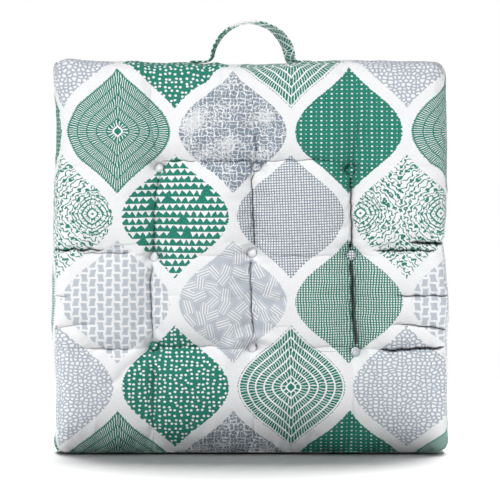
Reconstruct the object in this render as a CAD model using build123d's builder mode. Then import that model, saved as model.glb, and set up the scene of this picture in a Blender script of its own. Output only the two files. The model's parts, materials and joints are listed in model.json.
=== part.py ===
"""Square tufted floor cushion with a carry handle, standing on its lower edge.

Millimetres. +Z is up towards the handle, -Y is the printed front face, and the origin is
the middle of the lower edge, where the cushion stands on the floor.
"""

from build123d import *
from math import atan2, cos, degrees
import os

# Cushion body
WIDTH = 610.0  # left to right, a 24 in cushion
HEIGHT = 600.0  # lower edge to upper edge, a little slumped from 24 in
DEPTH = 127.0  # 5 in over the crowns of the two faces
CORNER_RADIUS = 20.0  # rounding of the four corners, seen from the front
EDGE_RADIUS = 18.0  # roll of each face panel down to its seam
CLOTH = 1.2  # printed cloth with its lining
SEAM = 1.0  # width of a sewn seam line
MIDDLE = HEIGHT / 2

# Tufting: three columns by three rows, each tied a little off its mark
COLUMNS = {"left": -147.0, "centre": 3.0, "right": 154.0}
ROWS = {"top": 439.0, "middle": 305.0, "bottom": 162.0}
TIED_OFF_MARK = {
    ("top", "left"): (7.0, 0.0),
    ("top", "centre"): (5.0, 2.0),
    ("top", "right"): (-2.0, -3.0),
    ("middle", "left"): (-1.0, -2.0),
    ("middle", "centre"): (-1.5, 4.0),
    ("bottom", "left"): (-1.5, 3.0),
    ("bottom", "centre"): (-1.0, 2.0),
    ("bottom", "right"): (6.0, -5.0),
}
DIMPLE_RADIUS = 42.0  # where a dimple meets the face
DIMPLE_FLOOR = 9.0  # radius of the flat that a button sits on
DIMPLE_DEPTH = 32.0

# Cloth-covered button, 24 ligne, measured outwards from the dimple's floor
BUTTON_RADIUS = 7.5
BUTTON_HEIGHT = 5.9
BUTTON_SHOULDER = 2.0  # height of the straight side below the dome
BUTTON_CLOTH = 0.7
SHELL_WALL = 0.5
LIP_RADIUS = 5.0  # how far in the cloth is turned under the shell
LIP = 0.8
PLATE_THICKNESS = 0.6
WIRE_RADIUS = 0.45
SHANK_HALF_WIDTH = 1.7
SHANK_BEND = -1.5  # where the shank's legs meet its round end

# Tufting twine
TWINE_RADIUS = 0.8
KNOT_RADIUS = 1.5
POCKET_RADIUS = 2.4  # clearance hole for the shank and knot
POCKET_DEPTH = 5.0

# Handle: a folded strap over webbing, arched over the upper edge
ARCH_RADIUS = 60.0
STRAP_WIDTH = 24.0
STRAP = 3.2  # thickness of the folded strap
WEB_WIDTH = 20.0
WEB = 1.4
HINGE_GAP = 0.3  # between the strap's round foot and the sewn end under it
SEWN_LENGTH = 38.0  # sewn end, from the foot outwards
STITCH = 0.6  # thread width
STITCH_PROUD = 0.3
STITCH_INSET = 2.5  # stitch line from a strap's edge

SEAM_PLANE = DEPTH / 2 - EDGE_RADIUS
FLOOR_PLANE = DEPTH / 2 - DIMPLE_DEPTH  # distance of a dimple's floor from the middle
SEWN_TOP = HEIGHT + STRAP
FOLD_AXIS = SEWN_TOP + HINGE_GAP + STRAP_WIDTH / 2  # height of the handle's fold line
ARCH_CENTRE = SEWN_TOP - 1.2
BIG = 2 * WIDTH


def save(part, name):
    """Label a finished piece and write its STEP file."""
    part.label = name
    export_step(part, f"parts/{name}.step")


def tufts():
    """Yield the name and the (x, z) of every tuft."""
    for row, z in ROWS.items():
        for column, x in COLUMNS.items():
            dx, dz = TIED_OFF_MARK.get((row, column), (0.0, 0.0))
            yield f"{row}_{column}", x + dx, z + dz


def facing(side, x, z, out):
    """Plane on a tuft's axis, `out` from the middle, its Z pointing out of the face."""
    return Plane(origin=(x, side * out, z), x_dir=(1, 0, 0), z_dir=(0, side, 0))


def tufted_block(inset):
    """The cushion's solid form with its dimples, shrunk all round by `inset`."""
    slope = atan2(DIMPLE_RADIUS - DIMPLE_FLOOR, DIMPLE_DEPTH)
    widen = inset / cos(slope) - inset * (DIMPLE_RADIUS - DIMPLE_FLOOR) / DIMPLE_DEPTH
    with BuildPart() as block:
        with Locations((0, 0, MIDDLE)):
            Box(WIDTH - 2 * inset, DEPTH - 2 * inset, HEIGHT - 2 * inset)
        fillet(block.edges().filter_by(Axis.Y), CORNER_RADIUS - inset)
        rims = block.faces().sort_by(Axis.Y)[0].edges() + block.faces().sort_by(Axis.Y)[-1].edges()
        fillet(rims, EDGE_RADIUS - inset)
        for side in (-1, 1):
            for _, x, z in tufts():
                with Locations(facing(side, x, z, FLOOR_PLANE - inset)):
                    Cone(
                        DIMPLE_FLOOR + widen,
                        DIMPLE_RADIUS + widen,
                        DIMPLE_DEPTH,
                        align=(Align.CENTER, Align.CENTER, Align.MIN),
                        mode=Mode.SUBTRACT,
                    )
                if inset:
                    with Locations(facing(side, x, z, DEPTH / 2 - inset)):
                        Cylinder(DIMPLE_RADIUS + widen, inset, mode=Mode.SUBTRACT)
    return block.part


def slice_between(part, low, high):
    """The slice of a part between two distances along Y."""
    with BuildPart() as cut:
        add(part)
        with Locations((0, (low + high) / 2, MIDDLE)):
            Box(BIG, high - low, BIG, mode=Mode.INTERSECT)
    return cut.part


def make_cover():
    """Front and back panels, the boxing strips between them, and the seam lines."""
    with BuildPart() as skin:
        add(tufted_block(0))
        add(tufted_block(CLOTH), mode=Mode.SUBTRACT)
        for _, x, z in tufts():
            with Locations(facing(1, x, z, 0)):
                Cylinder(POCKET_RADIUS, DEPTH, mode=Mode.SUBTRACT)
    with BuildPart() as rim:
        with Locations((0, 0, MIDDLE)):
            Box(BIG, 2 * SEAM_PLANE, BIG)
            Box(WIDTH - 4 * EDGE_RADIUS, BIG, HEIGHT - 4 * EDGE_RADIUS, mode=Mode.SUBTRACT)
    with BuildPart() as panels:
        add(skin.part)
        add(rim.part, mode=Mode.SUBTRACT)
    front, back = panels.solids().sort_by(Axis.Y)
    with BuildPart() as ring:
        add(skin.part)
        add(rim.part, mode=Mode.INTERSECT)
    inner = SEAM_PLANE - SEAM
    with BuildPart() as mitres:
        for across, up in ((-1, -1), (-1, 1), (1, -1), (1, 1)):
            corner = (across * WIDTH / 2, 0, MIDDLE + up * HEIGHT / 2)
            with Locations(Plane(origin=corner, x_dir=(across, 0, up), z_dir=(0, 1, 0))):
                Box(4 * CORNER_RADIUS, SEAM, DEPTH)
    gusset = slice_between(ring.part, -inner, inner)
    with BuildPart() as corner_seams:
        add(gusset)
        add(mitres.part, mode=Mode.INTERSECT)
    with BuildPart() as strips:
        add(gusset)
        add(mitres.part, mode=Mode.SUBTRACT)
    by_height = strips.solids().sort_by(Axis.Z)
    by_width = strips.solids().sort_by(Axis.X)
    for piece, name in (
        (front, "front_panel"),
        (back, "back_panel"),
        (slice_between(ring.part, -SEAM_PLANE, -inner), "front_seam"),
        (slice_between(ring.part, inner, SEAM_PLANE), "back_seam"),
        (corner_seams.part, "corner_seams"),
        (by_height[0], "bottom_boxing"),
        (by_height[-1], "top_boxing"),
        (by_width[0], "left_boxing"),
        (by_width[-1], "right_boxing"),
    ):
        with BuildPart() as sewn:
            add(piece)
        save(sewn.part, name)


def make_filling():
    """One block of fibre that fills the cover, pierced where each twine passes."""
    with BuildPart() as filling:
        add(tufted_block(CLOTH))
        for _, x, z in tufts():
            with Locations(facing(1, x, z, 0)):
                Cylinder(TWINE_RADIUS, DEPTH, mode=Mode.SUBTRACT)
            for side in (-1, 1):
                with Locations(facing(side, x, z, FLOOR_PLANE)):
                    Cylinder(
                        POCKET_RADIUS,
                        POCKET_DEPTH,
                        align=(Align.CENTER, Align.CENTER, Align.MAX),
                        mode=Mode.SUBTRACT,
                    )
    save(filling.part, "fibre_filling")


def dome_profile(radius, base, top):
    """Half section of a domed disc: straight side, then an arc over the axis."""
    rise = top - BUTTON_SHOULDER
    arc = (radius**2 + rise**2) / (2 * rise)
    with BuildLine() as line:
        Polyline((0, top), (0, base), (radius, base), (radius, BUTTON_SHOULDER))
        RadiusArc((radius, BUTTON_SHOULDER), (0, top), -arc)
    return line.line


def button_cover():
    """The button's printed cloth, drawn over the shell and turned under its rim."""
    with BuildPart() as cover:
        with BuildSketch(Plane.XZ):
            add(dome_profile(BUTTON_RADIUS, 0, BUTTON_HEIGHT))
            make_face()
        revolve(axis=Axis.Z)
        with BuildSketch(Plane.XZ):
            add(dome_profile(BUTTON_RADIUS - BUTTON_CLOTH, LIP, BUTTON_HEIGHT - BUTTON_CLOTH))
            make_face()
        revolve(axis=Axis.Z, mode=Mode.SUBTRACT)
        Cylinder(LIP_RADIUS, 2 * LIP, mode=Mode.SUBTRACT)
    return cover.part


def button_shell():
    """The pressed metal dome inside the cloth."""
    outer = BUTTON_RADIUS - BUTTON_CLOTH
    crown = BUTTON_HEIGHT - BUTTON_CLOTH
    with BuildPart() as shell:
        with BuildSketch(Plane.XZ):
            add(dome_profile(outer, LIP, crown))
            make_face()
        revolve(axis=Axis.Z)
        with BuildSketch(Plane.XZ):
            add(dome_profile(outer - SHELL_WALL, LIP, crown - SHELL_WALL))
            make_face()
        revolve(axis=Axis.Z, mode=Mode.SUBTRACT)
    return shell.part


def button_plate():
    """The disc that snaps into the shell and holds the shank."""
    with BuildPart() as plate:
        with Locations((0, 0, LIP)):
            Cylinder(
                BUTTON_RADIUS - BUTTON_CLOTH - SHELL_WALL,
                PLATE_THICKNESS,
                align=(Align.CENTER, Align.CENTER, Align.MIN),
            )
    return plate.part


def button_shank():
    """The wire loop that the twine is tied to."""
    with BuildPart() as shank:
        with BuildLine(Plane.XZ) as loop:
            Line((-SHANK_HALF_WIDTH, LIP), (-SHANK_HALF_WIDTH, SHANK_BEND))
            ThreePointArc(
                (-SHANK_HALF_WIDTH, SHANK_BEND),
                (0, SHANK_BEND - SHANK_HALF_WIDTH),
                (SHANK_HALF_WIDTH, SHANK_BEND),
            )
            Line((SHANK_HALF_WIDTH, SHANK_BEND), (SHANK_HALF_WIDTH, LIP))
        with BuildSketch(Plane(origin=loop.line @ 0, z_dir=loop.line % 0)):
            Circle(WIRE_RADIUS)
        sweep()
    return shank.part


def tufting_twine(x, z, shank):
    """Twine tied to the shank on each side and drawn tight through the filling."""
    tie = FLOOR_PLANE + SHANK_BEND - SHANK_HALF_WIDTH
    with BuildPart() as twine:
        with Locations(facing(1, x, z, 0)):
            Cylinder(TWINE_RADIUS, 2 * tie)
        for side in (-1, 1):
            with Locations(facing(side, x, z, tie)):
                Sphere(KNOT_RADIUS)
            with Locations(facing(side, x, z, FLOOR_PLANE)):
                add(shank, mode=Mode.SUBTRACT)
    return twine.part


def make_tufts():
    """Eighteen covered buttons, with their hidden metal parts grouped by kind, and nine twines."""
    cover, shank = button_cover(), button_shank()
    metal = {"shells": button_shell(), "plates": button_plate(), "shanks": shank}
    for side, face in ((-1, "front"), (1, "back")):
        for name, x, z in tufts():
            with BuildPart() as button:
                with Locations(facing(side, x, z, FLOOR_PLANE)):
                    add(cover)
            save(button.part, f"{face}_button_{name}")
        for kind, piece in metal.items():
            with BuildPart() as group:
                for _, x, z in tufts():
                    with Locations(facing(side, x, z, FLOOR_PLANE)):
                        add(piece)
            save(group.part, f"{face}_button_{kind}")
    for name, x, z in tufts():
        save(tufting_twine(x, z, shank), f"tufting_twine_{name}")


def arch(inner, outer, width, offset=0.0):
    """A half ring over the upper edge, `width` along Y, its feet rounded about the fold axis."""
    with BuildPart() as ring:
        with BuildSketch(Plane.XZ):
            with Locations((0, ARCH_CENTRE)):
                Circle(outer)
                Circle(inner, mode=Mode.SUBTRACT)
        extrude(amount=width / 2, both=True)
        with BuildSketch(Plane.YZ):
            with Locations((0, FOLD_AXIS)):
                Circle(width / 2)
                Rectangle(width, 2 * ARCH_RADIUS, align=(Align.CENTER, Align.MIN))
        extrude(amount=2 * ARCH_RADIUS, both=True, mode=Mode.INTERSECT)
    return ring.part.translate((0, offset, 0))


def make_handle():
    """The folded strap, its webbing and edge stitching, which fold together as one body."""
    half = STRAP / 2
    with BuildPart() as web:
        add(arch(ARCH_RADIUS - WEB / 2, ARCH_RADIUS + WEB / 2, WEB_WIDTH))
    save(web.part, "handle_webbing")
    with BuildPart() as strap:
        add(arch(ARCH_RADIUS - half, ARCH_RADIUS + half, STRAP_WIDTH))
        add(web.part, mode=Mode.SUBTRACT)
    save(strap.part, "handle_strap")

    edge = STRAP_WIDTH / 2 - STITCH_INSET
    with BuildPart() as stitching:
        for surface in (ARCH_RADIUS - half - STITCH_PROUD, ARCH_RADIUS + half):
            for side in (-1, 1):
                with BuildSketch(Plane.XZ.offset(side * edge - STITCH / 2)):
                    with Locations((0, ARCH_CENTRE)):
                        Circle(surface + STITCH_PROUD)
                        Circle(surface, mode=Mode.SUBTRACT)
                extrude(amount=STITCH)
        with Locations((0, 0, FOLD_AXIS)):
            Box(
                BIG,
                BIG,
                BIG,
                align=(Align.CENTER, Align.CENTER, Align.MIN),
                mode=Mode.INTERSECT,
            )
    save(stitching.part, "handle_edge_stitching")


def make_sewn_ends():
    """The strap's two ends, sewn flat on the top boxing with a boxed cross each."""
    inner = ARCH_RADIUS - STRAP
    centre = inner + SEWN_LENGTH / 2
    with BuildPart() as crosses:
        for side in (-1, 1):
            with BuildSketch(Plane.XY.offset(SEWN_TOP)):
                with Locations((side * (centre + STRAP), 0)):
                    length = SEWN_LENGTH - 2 * STRAP - 2 * STITCH_INSET
                    width = STRAP_WIDTH - 2 * STITCH_INSET
                    Rectangle(length, width)
                    Rectangle(length - 2 * STITCH, width - 2 * STITCH, mode=Mode.SUBTRACT)
                    slant = atan2(width, length)
                    for turn in (-slant, slant):
                        Rectangle((length - STITCH) / cos(slant), STITCH, rotation=degrees(turn))
            extrude(amount=STITCH_PROUD)
    save(crosses.part, "handle_end_stitching")
    for side, name in ((-1, "left"), (1, "right")):
        with BuildPart() as sewn:
            with BuildSketch(Plane.XY.offset(HEIGHT)):
                with Locations((side * centre, 0)):
                    RectangleRounded(SEWN_LENGTH, STRAP_WIDTH, STRAP)
            extrude(amount=STRAP)
        save(sewn.part, f"handle_{name}_end")


os.makedirs("parts", exist_ok=True)
make_cover()
make_filling()
make_tufts()
make_handle()
make_sewn_ends()
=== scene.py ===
"""Dresses the square tufted floor cushion: printed cotton over fibre, covered buttons and a strap handle."""

import json
import logging
import math
from dataclasses import dataclass, field
from enum import Enum
from functools import partial

import bpy
import numpy as np
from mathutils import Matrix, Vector

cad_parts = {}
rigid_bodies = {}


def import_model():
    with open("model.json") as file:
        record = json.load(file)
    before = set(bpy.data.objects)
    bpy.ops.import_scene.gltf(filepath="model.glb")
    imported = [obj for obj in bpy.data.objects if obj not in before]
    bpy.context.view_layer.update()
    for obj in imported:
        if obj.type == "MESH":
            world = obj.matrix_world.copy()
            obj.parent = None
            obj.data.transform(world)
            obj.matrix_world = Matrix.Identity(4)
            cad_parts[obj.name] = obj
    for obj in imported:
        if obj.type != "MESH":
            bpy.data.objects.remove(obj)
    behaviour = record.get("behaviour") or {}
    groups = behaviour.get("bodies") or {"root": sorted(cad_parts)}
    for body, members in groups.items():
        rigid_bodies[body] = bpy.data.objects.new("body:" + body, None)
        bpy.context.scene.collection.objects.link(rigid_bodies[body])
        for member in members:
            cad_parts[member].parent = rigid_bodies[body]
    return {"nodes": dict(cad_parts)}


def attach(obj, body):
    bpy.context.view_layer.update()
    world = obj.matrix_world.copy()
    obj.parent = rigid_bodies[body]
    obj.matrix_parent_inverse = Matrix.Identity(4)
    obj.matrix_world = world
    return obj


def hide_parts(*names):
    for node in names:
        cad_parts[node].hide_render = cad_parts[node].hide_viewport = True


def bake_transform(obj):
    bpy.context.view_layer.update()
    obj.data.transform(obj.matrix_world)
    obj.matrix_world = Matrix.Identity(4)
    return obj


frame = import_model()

log = logging.getLogger("cushion")
Array = np.ndarray
Socket = bpy.types.NodeSocket
Value = Socket | float | tuple[float, ...] | None
Stations = tuple[tuple[float, float], ...]
MM = 0.001
TAU = 2 * math.pi
CLOTH_MAP = "cloth"
# FOLD_MAP names the attribute of how deep a point lies in a sharp fold; the cotton's colour is darkened by it
# as painted shade.
FOLD_MAP = "fold"
CUSHION, HANDLE = "cushion", "handle"


class Side(Enum):
    """The cushion's two faces, each with the way it looks along Y."""

    FRONT = -1
    BACK = 1


class Run(Enum):
    """Which way a fold in the cloth mostly runs."""

    UPRIGHT = 0
    LEVEL = 1


# ---------------------------------------------------------------- shape helpers


def ease(share: Array) -> Array:
    """Smooth step 3t^2 - 2t^3 from 0 to 1, held level outside."""
    held = np.clip(share, 0.0, 1.0)
    return held * held * (3 - 2 * held)


def through(stations: Stations, at: Array) -> Array:
    """Smooth curve through stations: between two neighbours the value follows the smooth step.

    Args:
        stations: (position, value) pairs in rising order of position.
        at: positions to read the curve at.

    Returns:
        The curve's values, held level beyond the first and last station.
    """
    place, value = np.array(stations, float).T
    left = np.clip(np.searchsorted(place, at) - 1, 0, len(place) - 2)
    share = ease((at - place[left]) / (place[left + 1] - place[left]))
    return value[left] + (value[left + 1] - value[left]) * share


def graded(anchors: tuple[float, ...], fine: float, coarse: float, reach: float) -> Array:
    """Grid lines that land on every anchor and crowd near it.

    The spacing eases from fine at an anchor to coarse at a reach from it, and the lines are where the
    running sum of 1 / spacing passes whole numbers, stretched to fill each interval.

    Args:
        anchors: rising positions that must be grid lines.
        fine: spacing at an anchor.
        coarse: spacing far from one.
        reach: distance over which the spacing grows.

    Returns:
        The rising grid lines.
    """
    lines = [np.array(anchors[:1])]
    for low, high in zip(anchors, anchors[1:]):
        dense = np.linspace(low, high, 400)
        near = np.minimum(dense - low, high - dense)
        spacing = fine + (coarse - fine) * ease(near / reach)
        count = np.concatenate(([0.0], np.cumsum(np.diff(dense) / spacing[1:])))
        whole = max(2, math.ceil(count[-1]))
        lines.append(np.interp(np.linspace(0, count[-1], whole + 1)[1:], count, dense))
    return np.concatenate(lines)


def ripple(across: Array, up: Array, wavelength: float, seed: int) -> Array:
    """Gentle unevenness between about -1 and 1: a sum of eight plane sine waves in seeded directions.

    Args:
        across: first coordinate.
        up: second coordinate.
        wavelength: mean distance between crests.
        seed: picks the directions, lengths and phases.

    Returns:
        Half the sum at each point, divided by the root of half the number of waves.
    """
    draw, waves = np.random.default_rng(seed), 8
    turn = draw.uniform(0, TAU, waves)
    pitch = TAU / (wavelength * draw.uniform(0.7, 1.5, waves))
    total = np.zeros(np.broadcast(across, up).shape)
    for angle, number, phase in zip(turn, pitch, draw.uniform(0, TAU, waves)):
        total += np.sin(number * (across * math.cos(angle) + up * math.sin(angle)) + phase)
    return total / math.sqrt(waves / 2) / 2


def unit(vectors: Array) -> Array:
    """Vectors of length one in the directions of the given ones."""
    return vectors / np.maximum(np.linalg.norm(vectors, axis=-1, keepdims=True), 1e-12)


def normals(points: Array) -> Array:
    """Unit normals of a grid surface: the cross product of its row and column tangents."""
    return unit(np.cross(np.gradient(points, axis=1), np.gradient(points, axis=0)))


def quads(rows: int, columns: int) -> Array:
    """Numbers the corners of the quads of a grid, wound so that normals() point outwards.

    Args:
        rows: how many rows of points it has.
        columns: how many columns.

    Returns:
        The point numbers of each quad, (n, 4).
    """
    row, column = np.arange(rows - 1)[:, None], np.arange(columns - 1)[None, :]
    here = row * columns + column
    return np.stack((here, here + 1, here + columns + 1, here + columns), -1).reshape(-1, 4)


def border(rows: int, columns: int) -> Array:
    """Numbers of the points on the border of a grid, once round."""
    number = np.arange(rows * columns).reshape(rows, columns)
    return np.concatenate((number[0, :-1], number[:-1, -1], number[-1, :0:-1], number[:0:-1, 0]))


def belts(loops: Array) -> Array:
    """Quads between each closed loop of point numbers, one to a row, and the next."""
    following = np.roll(loops, -1, axis=1)
    return np.stack((following[:-1], loops[:-1], loops[1:], following[1:]), -1).reshape(-1, 4)


def tube(rings: Array, poles: Array) -> tuple[Array, Array, Array]:
    """A closed surface through rings of points, with one more point at each end.

    Args:
        rings: places of the rings, (count, sides, 3).
        poles: the two end points, (2, 3).

    Returns:
        The points, the quads between the rings and the triangles round the poles.
    """
    number = np.arange(rings.shape[0] * rings.shape[1]).reshape(rings.shape[:2])
    following, pole = np.roll(number, -1, axis=1), np.full(rings.shape[1], number.size)
    first = np.stack((number[0], following[0], pole), -1)
    last = np.stack((following[-1], number[-1], pole + 1), -1)
    return np.concatenate((rings.reshape(-1, 3), poles)), belts(number), np.concatenate((first, last))


def running(path: Array) -> Array:
    """Length along a path of points up to each of them."""
    return np.concatenate(([0.0], np.cumsum(np.linalg.norm(np.diff(path, axis=0), axis=1))))


def new_piece(
    name: str,
    points: Array,
    faces: Array,
    cloth: Array | None = None,
    fold: Array | None = None,
    triangles: Array | None = None,
) -> bpy.types.Object:
    """Makes a smooth-shaded mesh object from arrays.

    Args:
        name: the piece's name.
        points: vertex places, (n, 3).
        faces: vertex numbers of the quads, (m, 4).
        cloth: flat place on the cloth of each vertex, in metres, (n, 2).
        fold: how deep each vertex lies in a sharp fold, from 0 to 1.
        triangles: vertex numbers of the faces that close poles, (k, 3).

    Returns:
        The new object, linked to the scene.
    """
    mesh = bpy.data.meshes.new(name)
    poles = [] if triangles is None else triangles.tolist()
    mesh.from_pydata(points.reshape(-1, 3), [], faces.tolist() + poles)
    mesh.polygons.foreach_set("use_smooth", np.ones(len(mesh.polygons), bool))
    if cloth is not None:
        corner_vertex = np.empty(len(mesh.loops), np.int32)
        mesh.loops.foreach_get("vertex_index", corner_vertex)
        layer = mesh.uv_layers.new(name=CLOTH_MAP)
        layer.data.foreach_set("uv", cloth.reshape(-1, 2)[corner_vertex].astype(np.float32).ravel())
    if fold is not None:
        layer = mesh.attributes.new(FOLD_MAP, "FLOAT", "POINT")
        layer.data.foreach_set("value", fold.astype(np.float32).ravel())
    mesh.update()
    piece = bpy.data.objects.new(name, mesh)
    bpy.context.scene.collection.objects.link(piece)
    return piece


def turned(profile: Array, sides: int) -> tuple[Array, Array, Array, Array]:
    """A profile turned round the Z axis, closed by one point at each pole.

    A point of the result is (r cos a, r sin a, h) for each (r, h) of the profile and each angle a.

    Args:
        profile: (radius, height) pairs between the two poles, whose first and last radius are 0.
        sides: how many steps go round.

    Returns:
        The points, the quads, the triangles at the poles, and each point's angle.
    """
    angle = np.linspace(0, TAU, sides, endpoint=False)
    radius, height = profile[1:-1, 0][:, None], profile[1:-1, 1][:, None]
    rings = np.stack(np.broadcast_arrays(radius * np.cos(angle), radius * np.sin(angle), height), -1)
    poles = np.array([(0, 0, profile[0, 1]), (0, 0, profile[-1, 1])])
    angles = np.concatenate((np.broadcast_to(angle, rings.shape[:2]).ravel(), (0.0, 0.0)))
    return *tube(rings, poles), angles


def shell(
    name: str, outer: Array, thickness: float, cloth: Array, fold: Array | None = None
) -> bpy.types.Object:
    """A closed piece of cloth: the outer grid, the same grid set back along its normals, and the cut edge.

    Args:
        name: the piece's name.
        outer: grid of outer places, (rows, columns, 3).
        thickness: how far the inner grid is set back.
        cloth: flat place on the cloth of each grid point, (rows, columns, 2).
        fold: fold depth at each grid point.

    Returns:
        The new object.
    """
    inner = outer - normals(outer) * thickness
    size = outer.shape[0] * outer.shape[1]
    faces, edge = quads(*outer.shape[:2]), border(*outer.shape[:2])
    return new_piece(
        name,
        np.concatenate((outer.reshape(-1, 3), inner.reshape(-1, 3))),
        np.concatenate((faces, faces[:, ::-1] + size, belts(np.stack((edge, edge + size))))),
        np.tile(cloth.reshape(-1, 2), (2, 1)),
        None if fold is None else np.tile(fold.ravel(), 2),
    )


# pitch, and half length, half width and half height of a stitch
SEAM_STITCH = (3.0 * MM, (1.5 * MM, 0.4 * MM, 0.45 * MM))
EDGE_STITCH = (2.8 * MM, (1.0 * MM, 0.22 * MM, 0.2 * MM))
BOX_STITCH = (2.4 * MM, (1.0 * MM, 0.3 * MM, 0.28 * MM))


def stitches(
    name: str, paths: list[Array], away: list[Array], pitch: float, size: tuple[float, float, float]
) -> bpy.types.Object:
    """Rows of sewn stitches, each a small grain that lies along its path.

    Every stitch is an ellipsoid at whole pitches along a path, turned so that its length follows the
    path and its height stands away from the cloth.

    Args:
        name: the piece's name.
        paths: runs of points, each (n, 3).
        away: for each path, the direction out of the cloth at its points, (n, 3).
        pitch: distance from one stitch to the next.
        size: half length, half width and half height of a stitch.

    Returns:
        The new object.
    """
    arc = np.linspace(0, math.pi, 5)
    grain, grain_faces, grain_ends, _ = turned(np.stack((np.sin(arc), np.cos(arc)), -1), 6)
    points, faces, ends, total = [], [], [], 0
    for path, out in zip(paths, away):
        length = running(path)
        at = np.arange(pitch / 2, length[-1] - pitch / 3, pitch)
        centre, further, up = (
            np.stack([np.interp(place, length, track[:, k]) for k in range(3)], -1)
            for place, track in ((at, path), (at + pitch / 4, path), (at, out))
        )
        ahead = unit(further - centre)
        sideways = unit(np.cross(up, ahead))
        axes = np.stack((sideways * size[1], np.cross(ahead, sideways) * size[2], ahead * size[0]), 1)
        points.append((grain[None] @ axes + centre[:, None, :]).reshape(-1, 3))
        first = total + np.arange(len(at))[:, None, None] * len(grain)
        faces.append((grain_faces[None] + first).reshape(-1, 4))
        ends.append((grain_ends[None] + first).reshape(-1, 3))
        total += len(at) * len(grain)
    return new_piece(name, np.concatenate(points), np.concatenate(faces), triangles=np.concatenate(ends))


STEPS = 20
SETTLING = {
    "quality": 4,
    "mass": 0.2,
    "tension_stiffness": 20,
    "compression_stiffness": 20,
    "shear_stiffness": 8,
    "bending_stiffness": 0.05,
    "tension_damping": 20,
    "compression_damping": 20,
    "use_pressure": True,
    "uniform_pressure_force": 4,
    "vertex_group_mass": "sewn",
}


def settled(points: Array, sewn: Array, growth: float, reach: float) -> Array:
    """Lets a sheet settle as stuffed cloth for a few steps of Blender's cloth simulation.

    The sheet is a little too large for its place by growth, the filling pushes it outwards, and it is
    held where it is sewn. Each point's travel is then held to the reach by reach * tanh(travel / reach).

    Args:
        points: grid of places, (rows, columns, 3).
        sewn: how firmly each point is held, from 0 to 1.
        growth: the spare share of cloth.
        reach: how far a point may travel.

    Returns:
        The settled grid.
    """
    scene = bpy.context.scene
    sheet = new_piece("settling_sheet", points, quads(*points.shape[:2]))
    group = sheet.vertex_groups.new(name="sewn")
    firmness = np.rint(sewn.ravel() * 8).astype(int)
    for level in range(1, 9):
        group.add(np.flatnonzero(firmness == level).tolist(), level / 8, "REPLACE")
    cloth = sheet.modifiers.new("cloth", "CLOTH")
    for key, value in SETTLING.items():
        setattr(cloth.settings, key, value)
    cloth.settings.shrink_min = -growth
    cloth.settings.effector_weights.gravity = 0
    cloth.point_cache.frame_start, cloth.point_cache.frame_end = 1, STEPS
    for step in range(1, STEPS + 1):
        scene.frame_set(step)
    made = sheet.evaluated_get(bpy.context.evaluated_depsgraph_get()).to_mesh()
    places = np.empty(points.size, np.float32)
    made.vertices.foreach_get("co", places)
    mesh = sheet.data
    bpy.data.objects.remove(sheet)
    bpy.data.meshes.remove(mesh)
    scene.frame_set(1)
    move = places.reshape(points.shape) - points
    travel = np.maximum(np.linalg.norm(move, axis=-1, keepdims=True), 1e-9)
    return points + move / travel * reach * np.tanh(travel / reach)


# ---------------------------------------------------------------- finishes


def linear(hex_colour: str) -> tuple[float, float, float, float]:
    """An sRGB hex colour as linear red, green, blue and a full alpha.

    Args:
        hex_colour: the colour, with its leading #.

    Returns:
        c / 12.92 for each part up to 0.04045 and ((c + 0.055) / 1.055)^2.4 above it, then 1.
    """
    parts = (int(hex_colour[i : i + 2], 16) / 255 for i in (1, 3, 5))
    red, green, blue = (c / 12.92 if c <= 0.04045 else ((c + 0.055) / 1.055) ** 2.4 for c in parts)
    return red, green, blue, 1.0


def add_node(
    tree: bpy.types.NodeTree,
    kind: str,
    *inputs: Value,
    out: int | str = 0,
    at: dict[int | str, Value] | None = None,
    **settings: str | bool | bpy.types.NodeTree,
) -> Socket | bpy.types.Node:
    """Adds one node with its settings and links.

    Args:
        tree: the node tree it joins.
        kind: the node's type, without its ShaderNode prefix. A name in capitals is an operation of the
            Math node, or of the Vector Math node where V_ stands before it.
        inputs: sockets or values for the inputs in order, with None for one left alone.
        out: which output to return.
        at: sockets or values for inputs by number or name.
        settings: properties of the node.

    Returns:
        The chosen output socket, or the node where it has none.
    """
    if kind.isupper():
        settings["operation"] = kind.removeprefix("V_")
        kind = "VectorMath" if kind.startswith("V_") else "Math"
    node = tree.nodes.new("ShaderNode" + kind)
    for key, value in settings.items():
        setattr(node, key, value)
    for key, value in [*enumerate(inputs), *(at or {}).items()]:
        if isinstance(value, Socket):
            tree.links.new(value, node.inputs[key])
        elif value is not None:
            node.inputs[key].default_value = value
    return node.outputs[out] if len(node.outputs) else node


def new_material(name: str) -> tuple[bpy.types.Material, bpy.types.NodeTree]:
    """Makes an empty node material.

    Args:
        name: the material's name.

    Returns:
        The material and its tree.
    """
    material = bpy.data.materials.new(name)
    material.use_nodes = True
    material.node_tree.nodes.clear()
    return material, material.node_tree


THIN_INK = 0.77  # density of the two motifs that are printed pale


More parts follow.
